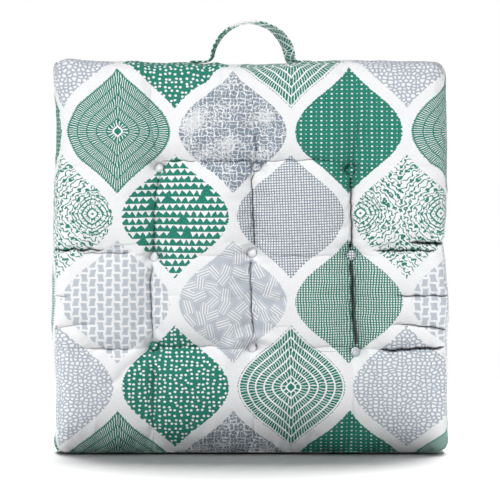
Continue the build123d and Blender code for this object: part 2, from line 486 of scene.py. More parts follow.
@dataclass(frozen=True)
class Motif:
    """Draws one motif inside its own node group. Each method gives the ink of one, from 0 to 1, in mm."""

    n: partial  # adds a node to the group
    place: Socket  # from the middle of the motif's shape, across and down
    x: Socket
    y: Socket
    ring: Socket  # 0 in the middle, 1 on the outline of the shape
    half_width: float

    def spots(self, across: float, up: float, size: float) -> Socket:
        """Ink all over but for loose oval spots, one to a cell of a jittered grid.

        Args:
            across: cell width.
            up: cell height.
            size: radius of a spot as a share of the cell.

        Returns:
            The ink.
        """
        n = self.n
        scaled = n("V_MULTIPLY", self.place, (1 / across, 1 / up, 0))
        near = n("TexVoronoi", scaled, voronoi_dimensions="2D", at={"Scale": 1.0, "Randomness": 0.5})
        wobble = n("TexNoise", self.place, noise_dimensions="2D", at={"Scale": 0.3})
        return n("GREATER_THAN", n("MULTIPLY_ADD", wobble, 0.14, near), size + 0.07)

    def pebbles(self, across: float, up: float, gap: float) -> Socket:
        """Ink in a net round bare pebbles that nearly touch: the cells of a jittered grid, each shrunk.

        Args:
            across: cell width.
            up: cell height.
            gap: how far a cell shrinks, as a share of its size.

        Returns:
            The ink.
        """
        n = self.n
        scaled = n("V_MULTIPLY", self.place, (1 / across, 1 / up, 0))
        settings = {"voronoi_dimensions": "2D", "feature": "DISTANCE_TO_EDGE"}
        near = n("TexVoronoi", scaled, at={"Scale": 1.0, "Randomness": 0.8}, **settings)
        wobble = n("TexNoise", self.place, noise_dimensions="2D", at={"Scale": 0.25})
        return n("LESS_THAN", near, n("MULTIPLY_ADD", wobble, 0.12, gap - 0.06))

    def rings(self, spacing: float, line: float, pitch: float, share: float, drawn: bool) -> Socket:
        """Nested rings of strokes that point at the middle, with a line between rings.

        Args:
            spacing: ring coordinate from one ring to the next.
            line: the line's width as a share of the spacing.
            pitch: distance from stroke to stroke.
            share: share of the pitch that a stroke inks.
            drawn: whether the line is inked or left bare.

        Returns:
            The ink.
        """
        n = self.n
        count = n("MULTIPLY_ADD", self.ring, 1 / spacing, -0.05)
        index = n("FLOOR", count)
        strokes = n("MULTIPLY", n("ADD", index, 0.55), spacing * self.half_width * TAU * 1.08 / pitch)
        turn = n("MULTIPLY", n("MULTIPLY", n("ARCTAN2", self.y, self.x), 1 / TAU), n("ROUND", strokes))
        shake = n("TexNoise", self.place, noise_dimensions="2D", at={"Scale": 0.12})
        stroke = n("LESS_THAN", n("FRACT", n("MULTIPLY_ADD", shake, 0.9, turn)), share)
        on_line = n("LESS_THAN", n("SUBTRACT", count, index), line)
        ink = n("MAXIMUM", stroke, on_line) if drawn else n("MULTIPLY", stroke, n("SUBTRACT", 1.0, on_line))
        outside = n("GREATER_THAN", self.ring, 0.1)
        return n("MAXIMUM", n("MULTIPLY", ink, outside), n("LESS_THAN", self.ring, 0.066))

    def basket(self) -> Socket:
        """Sketched basket weave: pairs of bars laid level and upright in turn, worn pale in patches.

        Returns:
            The ink.
        """
        n, cell = self.n, 11.6
        bend = n("TexNoise", self.place, noise_dimensions="2D", out="Color", at={"Scale": 0.1})
        loose = n("V_MULTIPLY_ADD", bend, (9.0, 9.0, 0), self.place)
        scaled = n("V_MULTIPLY", loose, (1 / cell,) * 3)
        number = n("V_FLOOR", scaled)
        turn = n("FLOORED_MODULO", n("ADD", n("SeparateXYZ", number), n("SeparateXYZ", number, out=1)), 2.0)
        chance = n("TexWhiteNoise", number, noise_dimensions="2D")
        pick = n("GREATER_THAN", n("ADD", turn, chance), 1.0)
        bars = n("V_FRACTION", n("V_MULTIPLY", loose, (2 / cell,) * 3))
        ends = n("V_FRACTION", scaled)
        along = n("Mix", pick, at={2: n("SeparateXYZ", bars), 3: n("SeparateXYZ", bars, out=1)})
        tip = n("Mix", pick, at={2: n("SeparateXYZ", ends, out=1), 3: n("SeparateXYZ", ends)})
        bar = n("MULTIPLY", n("LESS_THAN", along, 0.84), n("LESS_THAN", tip, 0.88))
        gaps = n("TexNoise", self.place, noise_dimensions="2D", at={"Scale": 0.32})
        patch = n("TexNoise", self.place, noise_dimensions="2D", at={"Scale": 0.022, "Detail": 1.0})
        worn = n("LESS_THAN", n("ADD", patch, gaps), 1.1)
        return n("MULTIPLY", bar, n("MULTIPLY_ADD", worn, 0.72, 0.28))

    def dashes(self) -> Socket:
        """Solid ink with short bare dashes in straight rows, every other column finer.

        Returns:
            The ink.
        """
        n = self.n
        scaled = n("V_MULTIPLY", self.place, (1 / 7.7, 1 / 6.6, 0))
        far = n("V_ABSOLUTE", n("V_SUBTRACT", n("V_FRACTION", scaled), (0.5, 0.5, 0)))
        odd = n("FLOORED_MODULO", n("FLOOR", n("SeparateXYZ", scaled)), 2.0)
        across = n("LESS_THAN", n("SeparateXYZ", far), n("MULTIPLY_ADD", odd, -0.09, 0.2))
        up = n("LESS_THAN", n("SeparateXYZ", far, out=1), n("MULTIPLY_ADD", odd, -0.06, 0.165))
        return n("SUBTRACT", 1.0, n("MULTIPLY", across, up))

    def coral(self) -> Socket:
        """Scalloped lines like coral round medallions of petals: contours of distance plus loose cells.

        Returns:
            The ink.
        """
        n, apart, spacing, medallion = self.n, 122.0, 7.4, 34.0
        across = n("SUBTRACT", n("FLOORED_MODULO", n("ADD", self.x, 10.0), apart), apart / 2)
        up = n("ADD", self.y, 5.0)
        off = n("CombineXYZ", across, up, 0.0)
        reach = n("V_LENGTH", off, out="Value")
        square = n("V_DOT_PRODUCT", n("V_ABSOLUTE", off), (0.4, 0.4, 0), out="Value")
        bend = n("TexNoise", self.place, noise_dimensions="2D", at={"Scale": 0.09})
        loose = n("V_MULTIPLY", self.place, (1 / 7.6, 1 / 6.6, 0))
        cells = n("TexVoronoi", loose, voronoi_dimensions="2D", at={"Scale": 1.0})
        outer = n("MapRange", reach, 20.0, medallion, 0.12, 1.0)
        scallop = n("MULTIPLY", n("MULTIPLY_ADD", cells, 8.0, n("MULTIPLY", bend, 9.0)), outer)
        count = n("MULTIPLY", n("ADD", n("MULTIPLY_ADD", reach, 0.55, square), scallop), 1 / spacing)
        within = n("FRACT", count)
        turn = n("MULTIPLY_ADD", n("ARCTAN2", up, across), 17 / TAU, n("MULTIPLY", bend, 1.5))
        petal = n("LESS_THAN", n("FRACT", turn), 0.3)
        band = n("MULTIPLY", n("LESS_THAN", within, 0.8), n("GREATER_THAN", reach, 7.0))
        close = n("MULTIPLY", n("LESS_THAN", reach, medallion), band)
        gaps = n("TexNoise", self.place, noise_dimensions="2D", at={"Scale": 0.22, "Detail": 1.0})
        drawn = n("MAXIMUM", n("LESS_THAN", within, 0.38), n("MULTIPLY", petal, close))
        return n("MULTIPLY", drawn, n("LESS_THAN", gaps, 0.68))

    def bunting(self) -> Socket:
        """Solid ink with rows of bare pennants, hung from level lines, each a triangle of its own drop.

        Returns:
            The ink.
        """
        n, row_height, pennant, hem = self.n, 10.6, 10.4, 0.15
        high = n("MULTIPLY", self.y, 1 / row_height)
        row = n("FLOOR", high)
        down = n("SUBTRACT", n("SUBTRACT", high, row), hem)
        slip = n("MULTIPLY", n("TexWhiteNoise", at={"W": row}, noise_dimensions="1D"), 5.0)
        bend = n("TexNoise", self.place, noise_dimensions="2D", at={"Scale": 0.05})
        along = n("MULTIPLY_ADD", bend, 0.8, n("MULTIPLY_ADD", self.x, 1 / pennant, slip))
        number = n("ADD", n("FLOOR", along), n("MULTIPLY", row, 7.0))
        flag = n("TexWhiteNoise", at={"W": number}, noise_dimensions="1D")
        off = n("ABSOLUTE", n("SUBTRACT", n("FRACT", along), 0.5))
        wide = n("SUBTRACT", 0.53, n("MULTIPLY", down, n("MULTIPLY_ADD", flag, 0.35, 0.6)))
        hung = n("MULTIPLY", n("LESS_THAN", off, wide), n("GREATER_THAN", down, 0.0))
        return n("SUBTRACT", 1.0, n("MULTIPLY", hung, n("GREATER_THAN", flag, 0.03)))

    def check(self) -> Socket:
        """Fine crossed lines ruled a little off square, with every second level line heavier.

        Returns:
            The ink.
        """
        n = self.n
        ruled = n("VectorRotate", self.place, at={"Angle": 0.035}, rotation_type="Z_AXIS")
        fine = n("V_FRACTION", n("V_MULTIPLY", ruled, (1 / 4.1, 1 / 4.0, 0)))
        shake = n("TexNoise", self.place, noise_dimensions="2D", at={"Scale": 0.2})
        thin = n("MULTIPLY_ADD", shake, 0.3, 0.2)
        upright = n("LESS_THAN", n("SeparateXYZ", fine), thin)
        level = n("LESS_THAN", n("SeparateXYZ", fine, out=1), thin)
        second = n("FRACT", n("MULTIPLY", n("SeparateXYZ", ruled, out=1), 1 / 8.0))
        heavy = n("LESS_THAN", second, 0.13)
        lines = n("MAXIMUM", n("MAXIMUM", upright, level), heavy)
        return n("MULTIPLY", lines, n("MULTIPLY_ADD", heavy, 0.5, 1.1))

    def bricks(self) -> Socket:
        """Leaning blocks in bricklaid columns, neighbours leaning opposite ways like pinwheels.

        Returns:
            The ink.
        """
        n = self.n
        across = n("MULTIPLY_ADD", self.x, 1 / 12.2, 0.5)
        column = n("FLOOR", across)
        odd = n("FLOORED_MODULO", column, 2.0)
        up = n("MULTIPLY_ADD", self.y, 1 / 14.6, n("MULTIPLY", odd, 0.5))
        high = n("SUBTRACT", n("FRACT", up), 0.5)
        lean = n("MULTIPLY", n("MULTIPLY_ADD", odd, 0.44, -0.22), high)
        wide = n("ADD", n("SUBTRACT", n("SUBTRACT", across, column), 0.5), lean)
        far = n("ABSOLUTE", high)
        inside = n("LESS_THAN", n("ABSOLUTE", wide), n("MULTIPLY_ADD", far, 0.16, 0.31))
        return n("MULTIPLY", n("MULTIPLY", inside, n("LESS_THAN", far, 0.385)), THIN_INK)

    def tallies(self) -> Socket:
        """Solid ink with bare tally marks, four strokes to a cell at a chance slant.

        Returns:
            The ink.
        """
        n = self.n
        scaled = n("V_MULTIPLY", self.place, (1 / 19.0,) * 3)
        settings = {"voronoi_dimensions": "2D", "at": {"Scale": 1.0, "Randomness": 0.8}}
        slant = n("MULTIPLY", n("SeparateXYZ", n("TexVoronoi", scaled, out="Color", **settings)), TAU)
        local = n("V_SUBTRACT", scaled, n("TexVoronoi", scaled, out="Position", **settings))
        turned_cell = n("VectorRotate", local, at={"Angle": slant}, rotation_type="Z_AXIS")
        x, y = n("SeparateXYZ", turned_cell), n("SeparateXYZ", turned_cell, out=1)
        beside = n("ABSOLUTE", n("SUBTRACT", n("FRACT", n("MULTIPLY_ADD", x, 1 / 0.21, 0.5)), 0.5))
        near = n("MULTIPLY", n("LESS_THAN", beside, 0.245), n("LESS_THAN", n("ABSOLUTE", x), 0.4))
        mark = n("MULTIPLY", near, n("LESS_THAN", n("ABSOLUTE", y), 0.6))
        return n("MULTIPLY_ADD", mark, -THIN_INK, THIN_INK)

    def threads(self) -> Socket:
        """Close upright lines joined by rungs, every other line heavier, a little wavering.

        Returns:
            The ink.
        """
        n = self.n
        bend = n("TexNoise", self.place, noise_dimensions="2D", at={"Scale": 0.03})
        wavering = n("MULTIPLY_ADD", bend, 5.0, self.x)
        upright = n("LESS_THAN", n("FRACT", n("MULTIPLY", wavering, 1 / 4.0)), 0.5)
        heavy = n("LESS_THAN", n("FRACT", n("MULTIPLY", wavering, 1 / 8.0)), 0.18)
        rung = n("LESS_THAN", n("FRACT", n("MULTIPLY", self.y, 1 / 3.8)), 0.36)
        return n("MAXIMUM", n("MAXIMUM", heavy, upright), rung)


@dataclass(frozen=True)
class PrintedCotton:
    """Plain-woven cotton, screen printed in three inks: a lattice of onion shapes, each with its motif."""

    ground: str = "#f4f4f5"
    shade: str = "#e9eaec"
    green: str = "#017d69"
    grey: str = "#a9b2be"
    slate: str = "#808e9c"
    green_motifs: tuple[int, ...] = (0, 2, 3, 4, 8, 10, 11)
    slate_motifs: tuple[int, ...] = (1, 5)
    pitch_across: float = 176.6  # mm between columns of shapes
    pitch_up: float = 130.0  # mm between rows, each shifted half a column
    first_across: float = -204.0  # mm, centre of the shape that the motifs count from
    first_up: float = 495.0
    half_width: float = 81.7  # mm
    half_height: float = 94.9  # mm
    point: float = 0.81  # how slim the two points of a shape are drawn

    def _onion(self, n: partial, place: Socket) -> Socket:
        """Ring coordinate of a shape: |x| / half width + |t| / half height * (|t| / r) ** point.

        Args:
            n: adds a node.
            place: place from the shape's middle, in mm.

        Returns:
            The coordinate, 1 on the outline.
        """
        far, reach = n("V_ABSOLUTE", place), n("V_LENGTH", place, out="Value")
        t = n("SeparateXYZ", far, out=1)
        slim = n("POWER", n("DIVIDE", t, n("MAXIMUM", reach, 0.001)), self.point)
        tall = n("MULTIPLY", n("DIVIDE", t, self.half_height), slim)
        return n("MULTIPLY_ADD", n("SeparateXYZ", far), 1 / self.half_width, tall)

    def _motif(self, number: int) -> bpy.types.NodeTree:
        """The node group of one motif.

        Args:
            number: which of the twelve.

        Returns:
            The group, from place in the shape and ring coordinate to ink.
        """
        group = bpy.data.node_groups.new(f"motif_{number}", "ShaderNodeTree")
        group.interface.new_socket("Place", in_out="INPUT", socket_type="NodeSocketVector")
        group.interface.new_socket("Ring", in_out="INPUT", socket_type="NodeSocketFloat")
        group.interface.new_socket("Ink", in_out="OUTPUT", socket_type="NodeSocketFloat")
        place, ring, _ = group.nodes.new("NodeGroupInput").outputs
        n = partial(add_node, group)
        x, y = n("SeparateXYZ", place), n("SeparateXYZ", place, out=1)
        motif = Motif(n, place, x, y, ring, self.half_width)
        drawers = (
            partial(motif.rings, 0.19, 0.12, 3.5, 0.68, True),
            motif.basket,
            motif.dashes,
            motif.coral,
            motif.bunting,
            motif.check,
            motif.bricks,
            motif.tallies,
            motif.threads,
            partial(motif.pebbles, 7.2, 5.4, 0.19),
            partial(motif.spots, 8.2, 6.8, 0.255),
            partial(motif.rings, 0.158, 0.2, 4.6, 0.74, False),
        )
        group.links.new(drawers[number](), group.nodes.new("NodeGroupOutput").inputs[0])
        return group

    def material(self) -> bpy.types.Material:
        """Builds the cloth's material. The print is flat ink with ragged edges on a soft white matt weave.

        Returns:
            The material.
        """
        material, tree = new_material("printed_cotton_plain_weave")
        n = partial(add_node, tree)
        flat = n("V_MULTIPLY", n("UVMap", uv_map=CLOTH_MAP), (1000.0,) * 3)
        pitch = (self.pitch_across, 2 * self.pitch_up, 1.0)
        shifted = n("V_SUBTRACT", flat, (self.first_across, self.first_up, 0))
        counted = n("V_MULTIPLY", shifted, (1 / pitch[0], -1 / pitch[1], 0))
        found = []
        for offset in ((0, 0, 0), (0.5, -0.5, 0)):
            moved = n("V_ADD", counted, offset)
            cell = n("V_FLOOR", n("V_ADD", moved, (0.5, 0.5, 0)))
            place = n("V_MULTIPLY", n("V_SUBTRACT", moved, cell), pitch)
            found.append((cell, place, self._onion(n, place)))
        (cell_a, place_a, ring_a), (cell_b, place_b, ring_b) = found
        second = n("LESS_THAN", ring_b, ring_a)
        ring = n("MINIMUM", ring_a, ring_b)
        place = n("Mix", second, data_type="VECTOR", out=1, at={4: place_a, 5: place_b})
        cell = n("Mix", second, data_type="VECTOR", out=1, at={4: cell_a, 5: cell_b})
        column = n("FLOORED_MODULO", n("SeparateXYZ", cell), 3.0)
        row = n("FLOORED_MODULO", n("MULTIPLY_ADD", n("SeparateXYZ", cell, out=1), 2.0, second), 4.0)
        number = n("MULTIPLY_ADD", row, 3.0, column)
        ink, green, slate = 0.0, 0.0, 0.0
        for motif in range(12):
            chosen = n("COMPARE", number, float(motif), 0.1)
            ink = n("MULTIPLY_ADD", chosen, n("Group", place, ring, node_tree=self._motif(motif)), ink)
            green = n("ADD", chosen, green) if motif in self.green_motifs else green
            slate = n("ADD", chosen, slate) if motif in self.slate_motifs else slate
        ragged = n("TexNoise", flat, noise_dimensions="2D", at={"Scale": 0.4})
        printed = n("MULTIPLY", n("LESS_THAN", n("MULTIPLY_ADD", ragged, 0.05, ring), 1.025), ink)
        # Ink soaks in unevenly over a few threads, so its density wanders by a tenth.
        soak = n("TexNoise", flat, noise_dimensions="2D", at={"Scale": 0.5, "Detail": 3.0})
        density = n("MULTIPLY", n("MULTIPLY_ADD", soak, 0.2, 0.88), printed)
        greys = n("Mix", slate, data_type="RGBA", out=2, at={6: linear(self.grey), 7: linear(self.slate)})
        colour = n("Mix", green, data_type="RGBA", out=2, at={6: greys, 7: linear(self.green)})
        # Bleached yarn is a little uneven, so slubs and pressed patches mottle the white by a few percent.
        patch = n("TexNoise", flat, noise_dimensions="2D", at={"Scale": 0.3, "Detail": 5.0, "Roughness": 0.8})
        mottle = n("MapRange", patch, 0.3, 0.7, 0.0, 1.0)
        ground = n("Mix", mottle, data_type="RGBA", out=2, at={6: linear(self.shade), 7: linear(self.ground)})
        cloth = n("Mix", density, data_type="RGBA", out=2, clamp_factor=True, at={6: ground, 7: colour})
        # Painted shade: the colour is multiplied towards a dark grey by how deep a point lies in a sharp
        # fold, standing for the little light that gets in at its bottom.
        fold = n("Attribute", attribute_name=FOLD_MAP, out="Fac")
        fold_shade = {6: cloth, 7: (0.25, 0.25, 0.26, 1)}
        shaded = n("Mix", fold, data_type="RGBA", blend_type="MULTIPLY", out=2, at=fold_shade)
        # Threads are 0.45 mm apart in the cloth and drawn 0.9 mm apart, so that the weave shows.
        waves = n("V_SINE", n("V_MULTIPLY", flat, (TAU / 0.9,) * 3))
        weave = n("MULTIPLY", n("SeparateXYZ", waves), n("SeparateXYZ", waves, out=1))
        # Slubs, thick places in the yarn, run along it.
        along = n("V_MULTIPLY", flat, (0.25, 0.9, 0))
        slub = n("TexNoise", along, noise_dimensions="2D", at={"Scale": 1.0, "Detail": 4.0})
        height = n("MULTIPLY_ADD", weave, 0.25, slub)
        bump = n("Bump", at={"Strength": 0.35, "Distance": 0.0005, "Height": height})
        matt = {"Roughness": 0.88, "Normal": bump, "Sheen Weight": 0.12, "Specular IOR Level": 0.25}
        n("OutputMaterial", n("BsdfPrincipled", shaded, at=matt))
        return material


@dataclass(frozen=True)
class Spun:
    """Spun or woven fibre that isn't printed: thread, twine, webbing or filling."""

    name: str
    light: str
    dark: str
    strand: float  # mm between strands
    roughness: float = 0.85
    slant: float = 0.6  # radians that the strands lean

    def material(self) -> bpy.types.Material:
        """Builds the material: slanting strands in two tones with a matching bump.

        Returns:
            The material.
        """
        material, tree = new_material(self.name)
        n = partial(add_node, tree)
        place = n("TexCoord", out="Object")
        leaning = n("VectorRotate", place, at={"Angle": self.slant}, rotation_type="Y_AXIS")
        close = 1 / (self.strand * MM) / TAU
        strands = n("TexWave", leaning, at={"Scale": close, "Distortion": 2.0, "Detail": 2.0})
        fuzz = n("TexNoise", place, at={"Scale": 900.0, "Detail": 4.0})
        tone = n("MULTIPLY_ADD", strands, 0.6, n("MULTIPLY", fuzz, 0.4))
        colour = n("Mix", tone, data_type="RGBA", out=2, at={6: linear(self.dark), 7: linear(self.light)})
        bump = n("Bump", at={"Strength": 0.4, "Distance": 0.0004, "Height": tone})
        matt = {"Roughness": self.roughness, "Normal": bump, "Sheen Weight": 0.2}
        n("OutputMaterial", n("BsdfPrincipled", colour, at=matt))
        return material


@dataclass(frozen=True)
class PressedSteel:
    """Pressed steel, zinc plated: a cool grey metal with a mottled shine."""

    name: str = "pressed_steel_zinc_plated"
    colour: str = "#b9bcc2"
    dull: str = "#8f9298"

    def material(self) -> bpy.types.Material:
        """Builds the material: roughness and tone follow a fine mottle of about a millimetre.

        Returns:
            The material.
        """
        material, tree = new_material(self.name)
        n = partial(add_node, tree)
        mottle = n("TexNoise", n("TexCoord", out="Object"), at={"Scale": 1000.0, "Detail": 3.0})
        rough = n("MULTIPLY_ADD", mottle, 0.25, 0.2)
        tone = n("Mix", mottle, data_type="RGBA", out=2, at={6: linear(self.dull), 7: linear(self.colour)})
        bump = n("Bump", at={"Strength": 0.2, "Distance": 0.0001, "Height": mottle})
        metal = {"Metallic": 1.0, "Roughness": rough, "Normal": bump}
        n("OutputMaterial", n("BsdfPrincipled", tone, at=metal))
        return material


@dataclass
class Finishes:
    """Every finish on the cushion, built once and shared."""

    cotton: bpy.types.Material = field(default_factory=PrintedCotton().material)
    thread: bpy.types.Material = field(
        default_factory=Spun("polyester_thread_spun", "#c3d3cd", "#9fb8b0", 0.35).material
    )
    fibre: bpy.types.Material = field(
        default_factory=Spun("polyester_fibre_carded", "#f3f2ec", "#d8d6cd", 3.0, 0.95).material
    )
    webbing: bpy.types.Material = field(
        default_factory=Spun("cotton_webbing_woven", "#e2dccb", "#b9b19c", 1.2).material
    )
    twine: bpy.types.Material = field(
        default_factory=Spun("linen_twine_waxed", "#e6dfca", "#a89f86", 0.6, 0.6).material
    )
    steel: bpy.types.Material = field(default_factory=PressedSteel().material)


def dress(piece: bpy.types.Object, material: bpy.types.Material) -> None:
    """Gives a piece one finish in place of any it has."""
    piece.data.materials.clear()
    piece.data.materials.append(material)


def declare(
    piece: bpy.types.Object,
    finish: bpy.types.Material,
    slot: str,
    *nodes: str,
    bends: tuple[float, float] | None = None,
    stuffed: bool = False,
) -> None:
    """Dresses a finished piece, hides the CAD nodes whose place it takes, and hangs it on the cushion's body
    or leaves it where it stands.

    Args:
        piece: the piece.
        finish: its material.
        slot: its material slot; not used.
        nodes: the CAD nodes whose place it takes.
        bends: heights between which it passes from the cushion to the handle; the heights themselves are not
            used. Without them it rides the cushion; with them it is left where it stands, on no body.
        stuffed: whether it gives like padding; not used.
    """
    dress(piece, finish)
    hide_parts(*nodes)
    if bends is None:
        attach(piece, CUSHION)
    else:
        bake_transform(piece)
    log.info("%s: %d points", piece.name, len(piece.data.vertices))


# ---------------------------------------------------------------- cushion


class Edge(Enum):
    """The four edges of the square, each with its outward direction across and up."""

    TOP = (0, 1)
    BOTTOM = (0, -1)
    LEFT = (-1, 0)
    RIGHT = (1, 0)


@dataclass(frozen=True)
class Outline:
    """The seam round one face, seen square on: a rounded square whose edges lean in and out."""

    half_width: float = 297 * MM
    low: float = 4 * MM
    high: float = 596 * MM
    corners: tuple[float, ...] = (8.0, 24.0, 14.0, 18.0)  # mm: top left, top right, then the lower two
    spread: float = 45 * MM  # how far a lean carries into the face
    left: Stations = ((0, 0), (600, 0))  # mm outwards by height
    right: Stations = ((0, 0), (600, 0))
    top: Stations = ((-300, 0), (300, 0))  # mm outwards by place across

    @property
    def middle(self) -> float:
        """Height of the outline's middle."""
        return (self.low + self.high) / 2

    def _corner(self, x: Array, z: Array) -> tuple[Array, Array, Array]:
        """Finds where places lie in the corner blocks.

        Args:
            x: place across.
            z: height.

        Returns:
            Shares of the way into a block across and up, from 0 to 1, and the block's size.
        """
        size = np.array(self.corners)[2 * (z <= self.middle).astype(int) + (x >= 0)] * MM
        i = np.maximum(np.abs(x) - self.half_width, -size) / size + 1
        j = np.maximum(np.abs(z - self.middle) - (self.high - self.low) / 2, -size) / size + 1
        return i, j, size

    def outward(self, x: Array, z: Array) -> Array:
        """Direction out of the outline: the point's place on the corner's unit disc.

        Args:
            x: place across, on the edge.
            z: height.

        Returns:
            The unit directions, (..., 3).
        """
        i, j, _ = self._corner(x, z)
        across = np.sign(x) * i * np.sqrt(1 - j * j / 2)
        up = np.sign(z - self.middle) * j * np.sqrt(1 - i * i / 2)
        return unit(np.stack((across, 0 * across, up), -1))

    def place(self, x: Array, z: Array) -> tuple[Array, Array]:
        """Rounds the corners and leans the edges.

        In each corner block the unit square maps to the unit disc by x * sqrt(1 - y^2 / 2) and the
        same for y. Then each edge's lean, in mm outwards by place along it, is added and dies away
        inwards as exp(-distance / spread).

        Args:
            x: place across, from minus to plus half_width on the square.
            z: height, from low to high.

        Returns:
            The two leaned coordinates.
        """
        i, j, size = self._corner(x, z)
        across = x - np.sign(x) * i * (1 - np.sqrt(1 - j * j / 2)) * size
        up = z - np.sign(z - self.middle) * j * (1 - np.sqrt(1 - i * i / 2)) * size
        lean_left = through(self.left, z / MM) * MM * np.exp(-(x + self.half_width) / self.spread)
        lean_right = through(self.right, z / MM) * MM * np.exp((x - self.half_width) / self.spread)
        lean_top = through(self.top, x / MM) * MM * np.exp((z - self.high) / self.spread)
        return across - lean_left + lean_right, up + lean_top

    def edge(self, edge: Edge, share: Array) -> tuple[Array, Array]:
        """Places along one edge, rising with share from 0 to 1, and the way out of the cushion there.

        Args:
            edge: which of the four.
            share: share of the way along, left to right or upwards.

        Returns:
            The places on the seam, at depth 0, and the outward directions, both (..., 3).
        """
        across, up = edge.value
        x = self.half_width * (across if across else 2 * share - 1) + 0 * share
        z = self.middle + (self.high - self.low) / 2 * (up if up else 2 * share - 1) + 0 * share
        placed_x, placed_z = self.place(x, z)
        return np.stack((placed_x, 0 * x, placed_z), -1), self.outward(x, z)


@dataclass(frozen=True)
class Fold:
    """One fold pressed into a face: a line, its depth and width, and how far its ends fade, in mm."""

    run: Run
    line: Stations  # (height, across) for an upright fold, (across, height) for a level one
    depth: float
    width: float
    fade: float = 12.0
    soft: float = 0.0  # depth of the broad valley beside it
    breadth: float = 20.0

    def press(self, x: Array, z: Array) -> tuple[Array, Array]:
        """How deep the fold presses each point of the face.

        The sharp part is depth * exp(-distance / (0.6 width)) and the valley soft * exp(-(distance /
        breadth)^1.2), both eased to nothing beyond the ends of the line.

        Args:
            x: place across, in mm.
            z: height, in mm.

        Returns:
            The sharp part and the valley, in mm.
        """
        along, beside = (z, x) if self.run is Run.UPRIGHT else (x, z)
        first, last, fade = self.line[0][0], self.line[-1][0], self.fade
        ends = ease((along - first + fade) / fade) * ease((last + fade - along) / fade)
        wide = ease((along - first + 3 * fade) / (4 * fade)) * ease((last + 3 * fade - along) / (4 * fade))
        wander = ripple(along, 0 * along, 26, 5 + int(abs(first))) * 1.1
        distance = np.abs(beside - through(self.line, along) - wander)
        sharp = self.depth * np.exp(-distance / (0.6 * self.width)) * ends
        valley = self.soft * np.exp(-((distance / self.breadth) ** 1.2)) * wide
        return sharp, valley


UP, LEVEL = Run.UPRIGHT, Run.LEVEL
FRONT_FOLDS = (
    Fold(UP, ((455, -143), (476, -148), (523, -156), (560, -152)), 4, 2.0, 16, 6, 24),
    Fold(UP, ((313, -148), (387, -147), (430, -140)), 10, 2.2, 8, 9, 24),
    Fold(UP, ((171, -151), (234, -152), (258, -154), (292, -152)), 11, 2.2, 8, 9, 24),
    Fold(UP, ((62, -149), (120, -149)), 5, 2.6, 24, 5, 26),
    Fold(UP, ((452, 8), (480, 7)), 9, 2.4, 14, 6, 20),
    Fold(UP, ((324, 5), (387, 3), (421, 1), (433, 7)), 12, 2.4, 8, 10, 24),
    Fold(UP, ((186, 4), (226, 1), (280, -1), (296, 0)), 12, 2.3, 8, 10, 24),
    Fold(UP, ((440, 155), (496, 163)), 3, 4.0, 22, 10, 26),
    Fold(UP, ((324, 154), (430, 153)), 16, 2.8, 8, 11, 26),
    Fold(UP, ((157, 162), (230, 156), (321, 153)), 20, 4.4, 8, 13, 30),
    Fold(LEVEL, ((163, 155), (178, 126)), 6, 1.6, 6),
    Fold(LEVEL, ((-135, 450), (-60, 449), (2, 450)), 7, 1.7, 8, 5, 24),
    Fold(LEVEL, ((12, 450), (75, 451), (110, 451)), 6, 1.6, 20, 5, 24),
    Fold(LEVEL, ((221, 460), (247, 455)), 3, 1.8, 12),
    Fold(LEVEL, ((-300, 314), (-232, 314)), 12, 3.6, 14, 5, 14),
    Fold(LEVEL, ((-250, 309), (-194, 309)), 9, 2.8, 16, 4, 14),
    Fold(LEVEL, ((254, 325), (300, 324)), 15, 5.0, 16, 6, 14),
    Fold(LEVEL, ((203, 313), (276, 313)), 12, 3.4, 18, 5, 14),
    Fold(LEVEL, ((-144, 165), (-54, 167)), 7, 1.7, 8, 5, 24),
    Fold(LEVEL, ((101, 166), (140, 166)), 4, 1.6, 14, 4, 24),
    Fold(LEVEL, ((105, 158), (136, 158)), 3, 1.4, 12),
    Fold(LEVEL, ((-242, 164), (-194, 163)), 7, 3.0, 18, 4, 14),
    Fold(LEVEL, ((232, 244), (300, 244)), 10, 3.4, 18, 5, 14),
    Fold(LEVEL, ((224, 201), (262, 198), (300, 192)), 10, 3.2, 18, 5, 14),
    Fold(LEVEL, ((206, 161), (285, 164)), 15, 3.6, 18, 6, 14),
    Fold(LEVEL, ((292, 154), (300, 148)), 8, 3.0, 8),
    Fold(LEVEL, ((-298, 194), (-250, 201)), 7, 3.0, 16, 3, 12),
    Fold(LEVEL, ((-300, 244), (-284, 244)), 8, 3.0, 12),
    Fold(LEVEL, ((-214, 111), (-177, 141), (-155, 160)), 4, 2.6, 14, 3, 16),
)


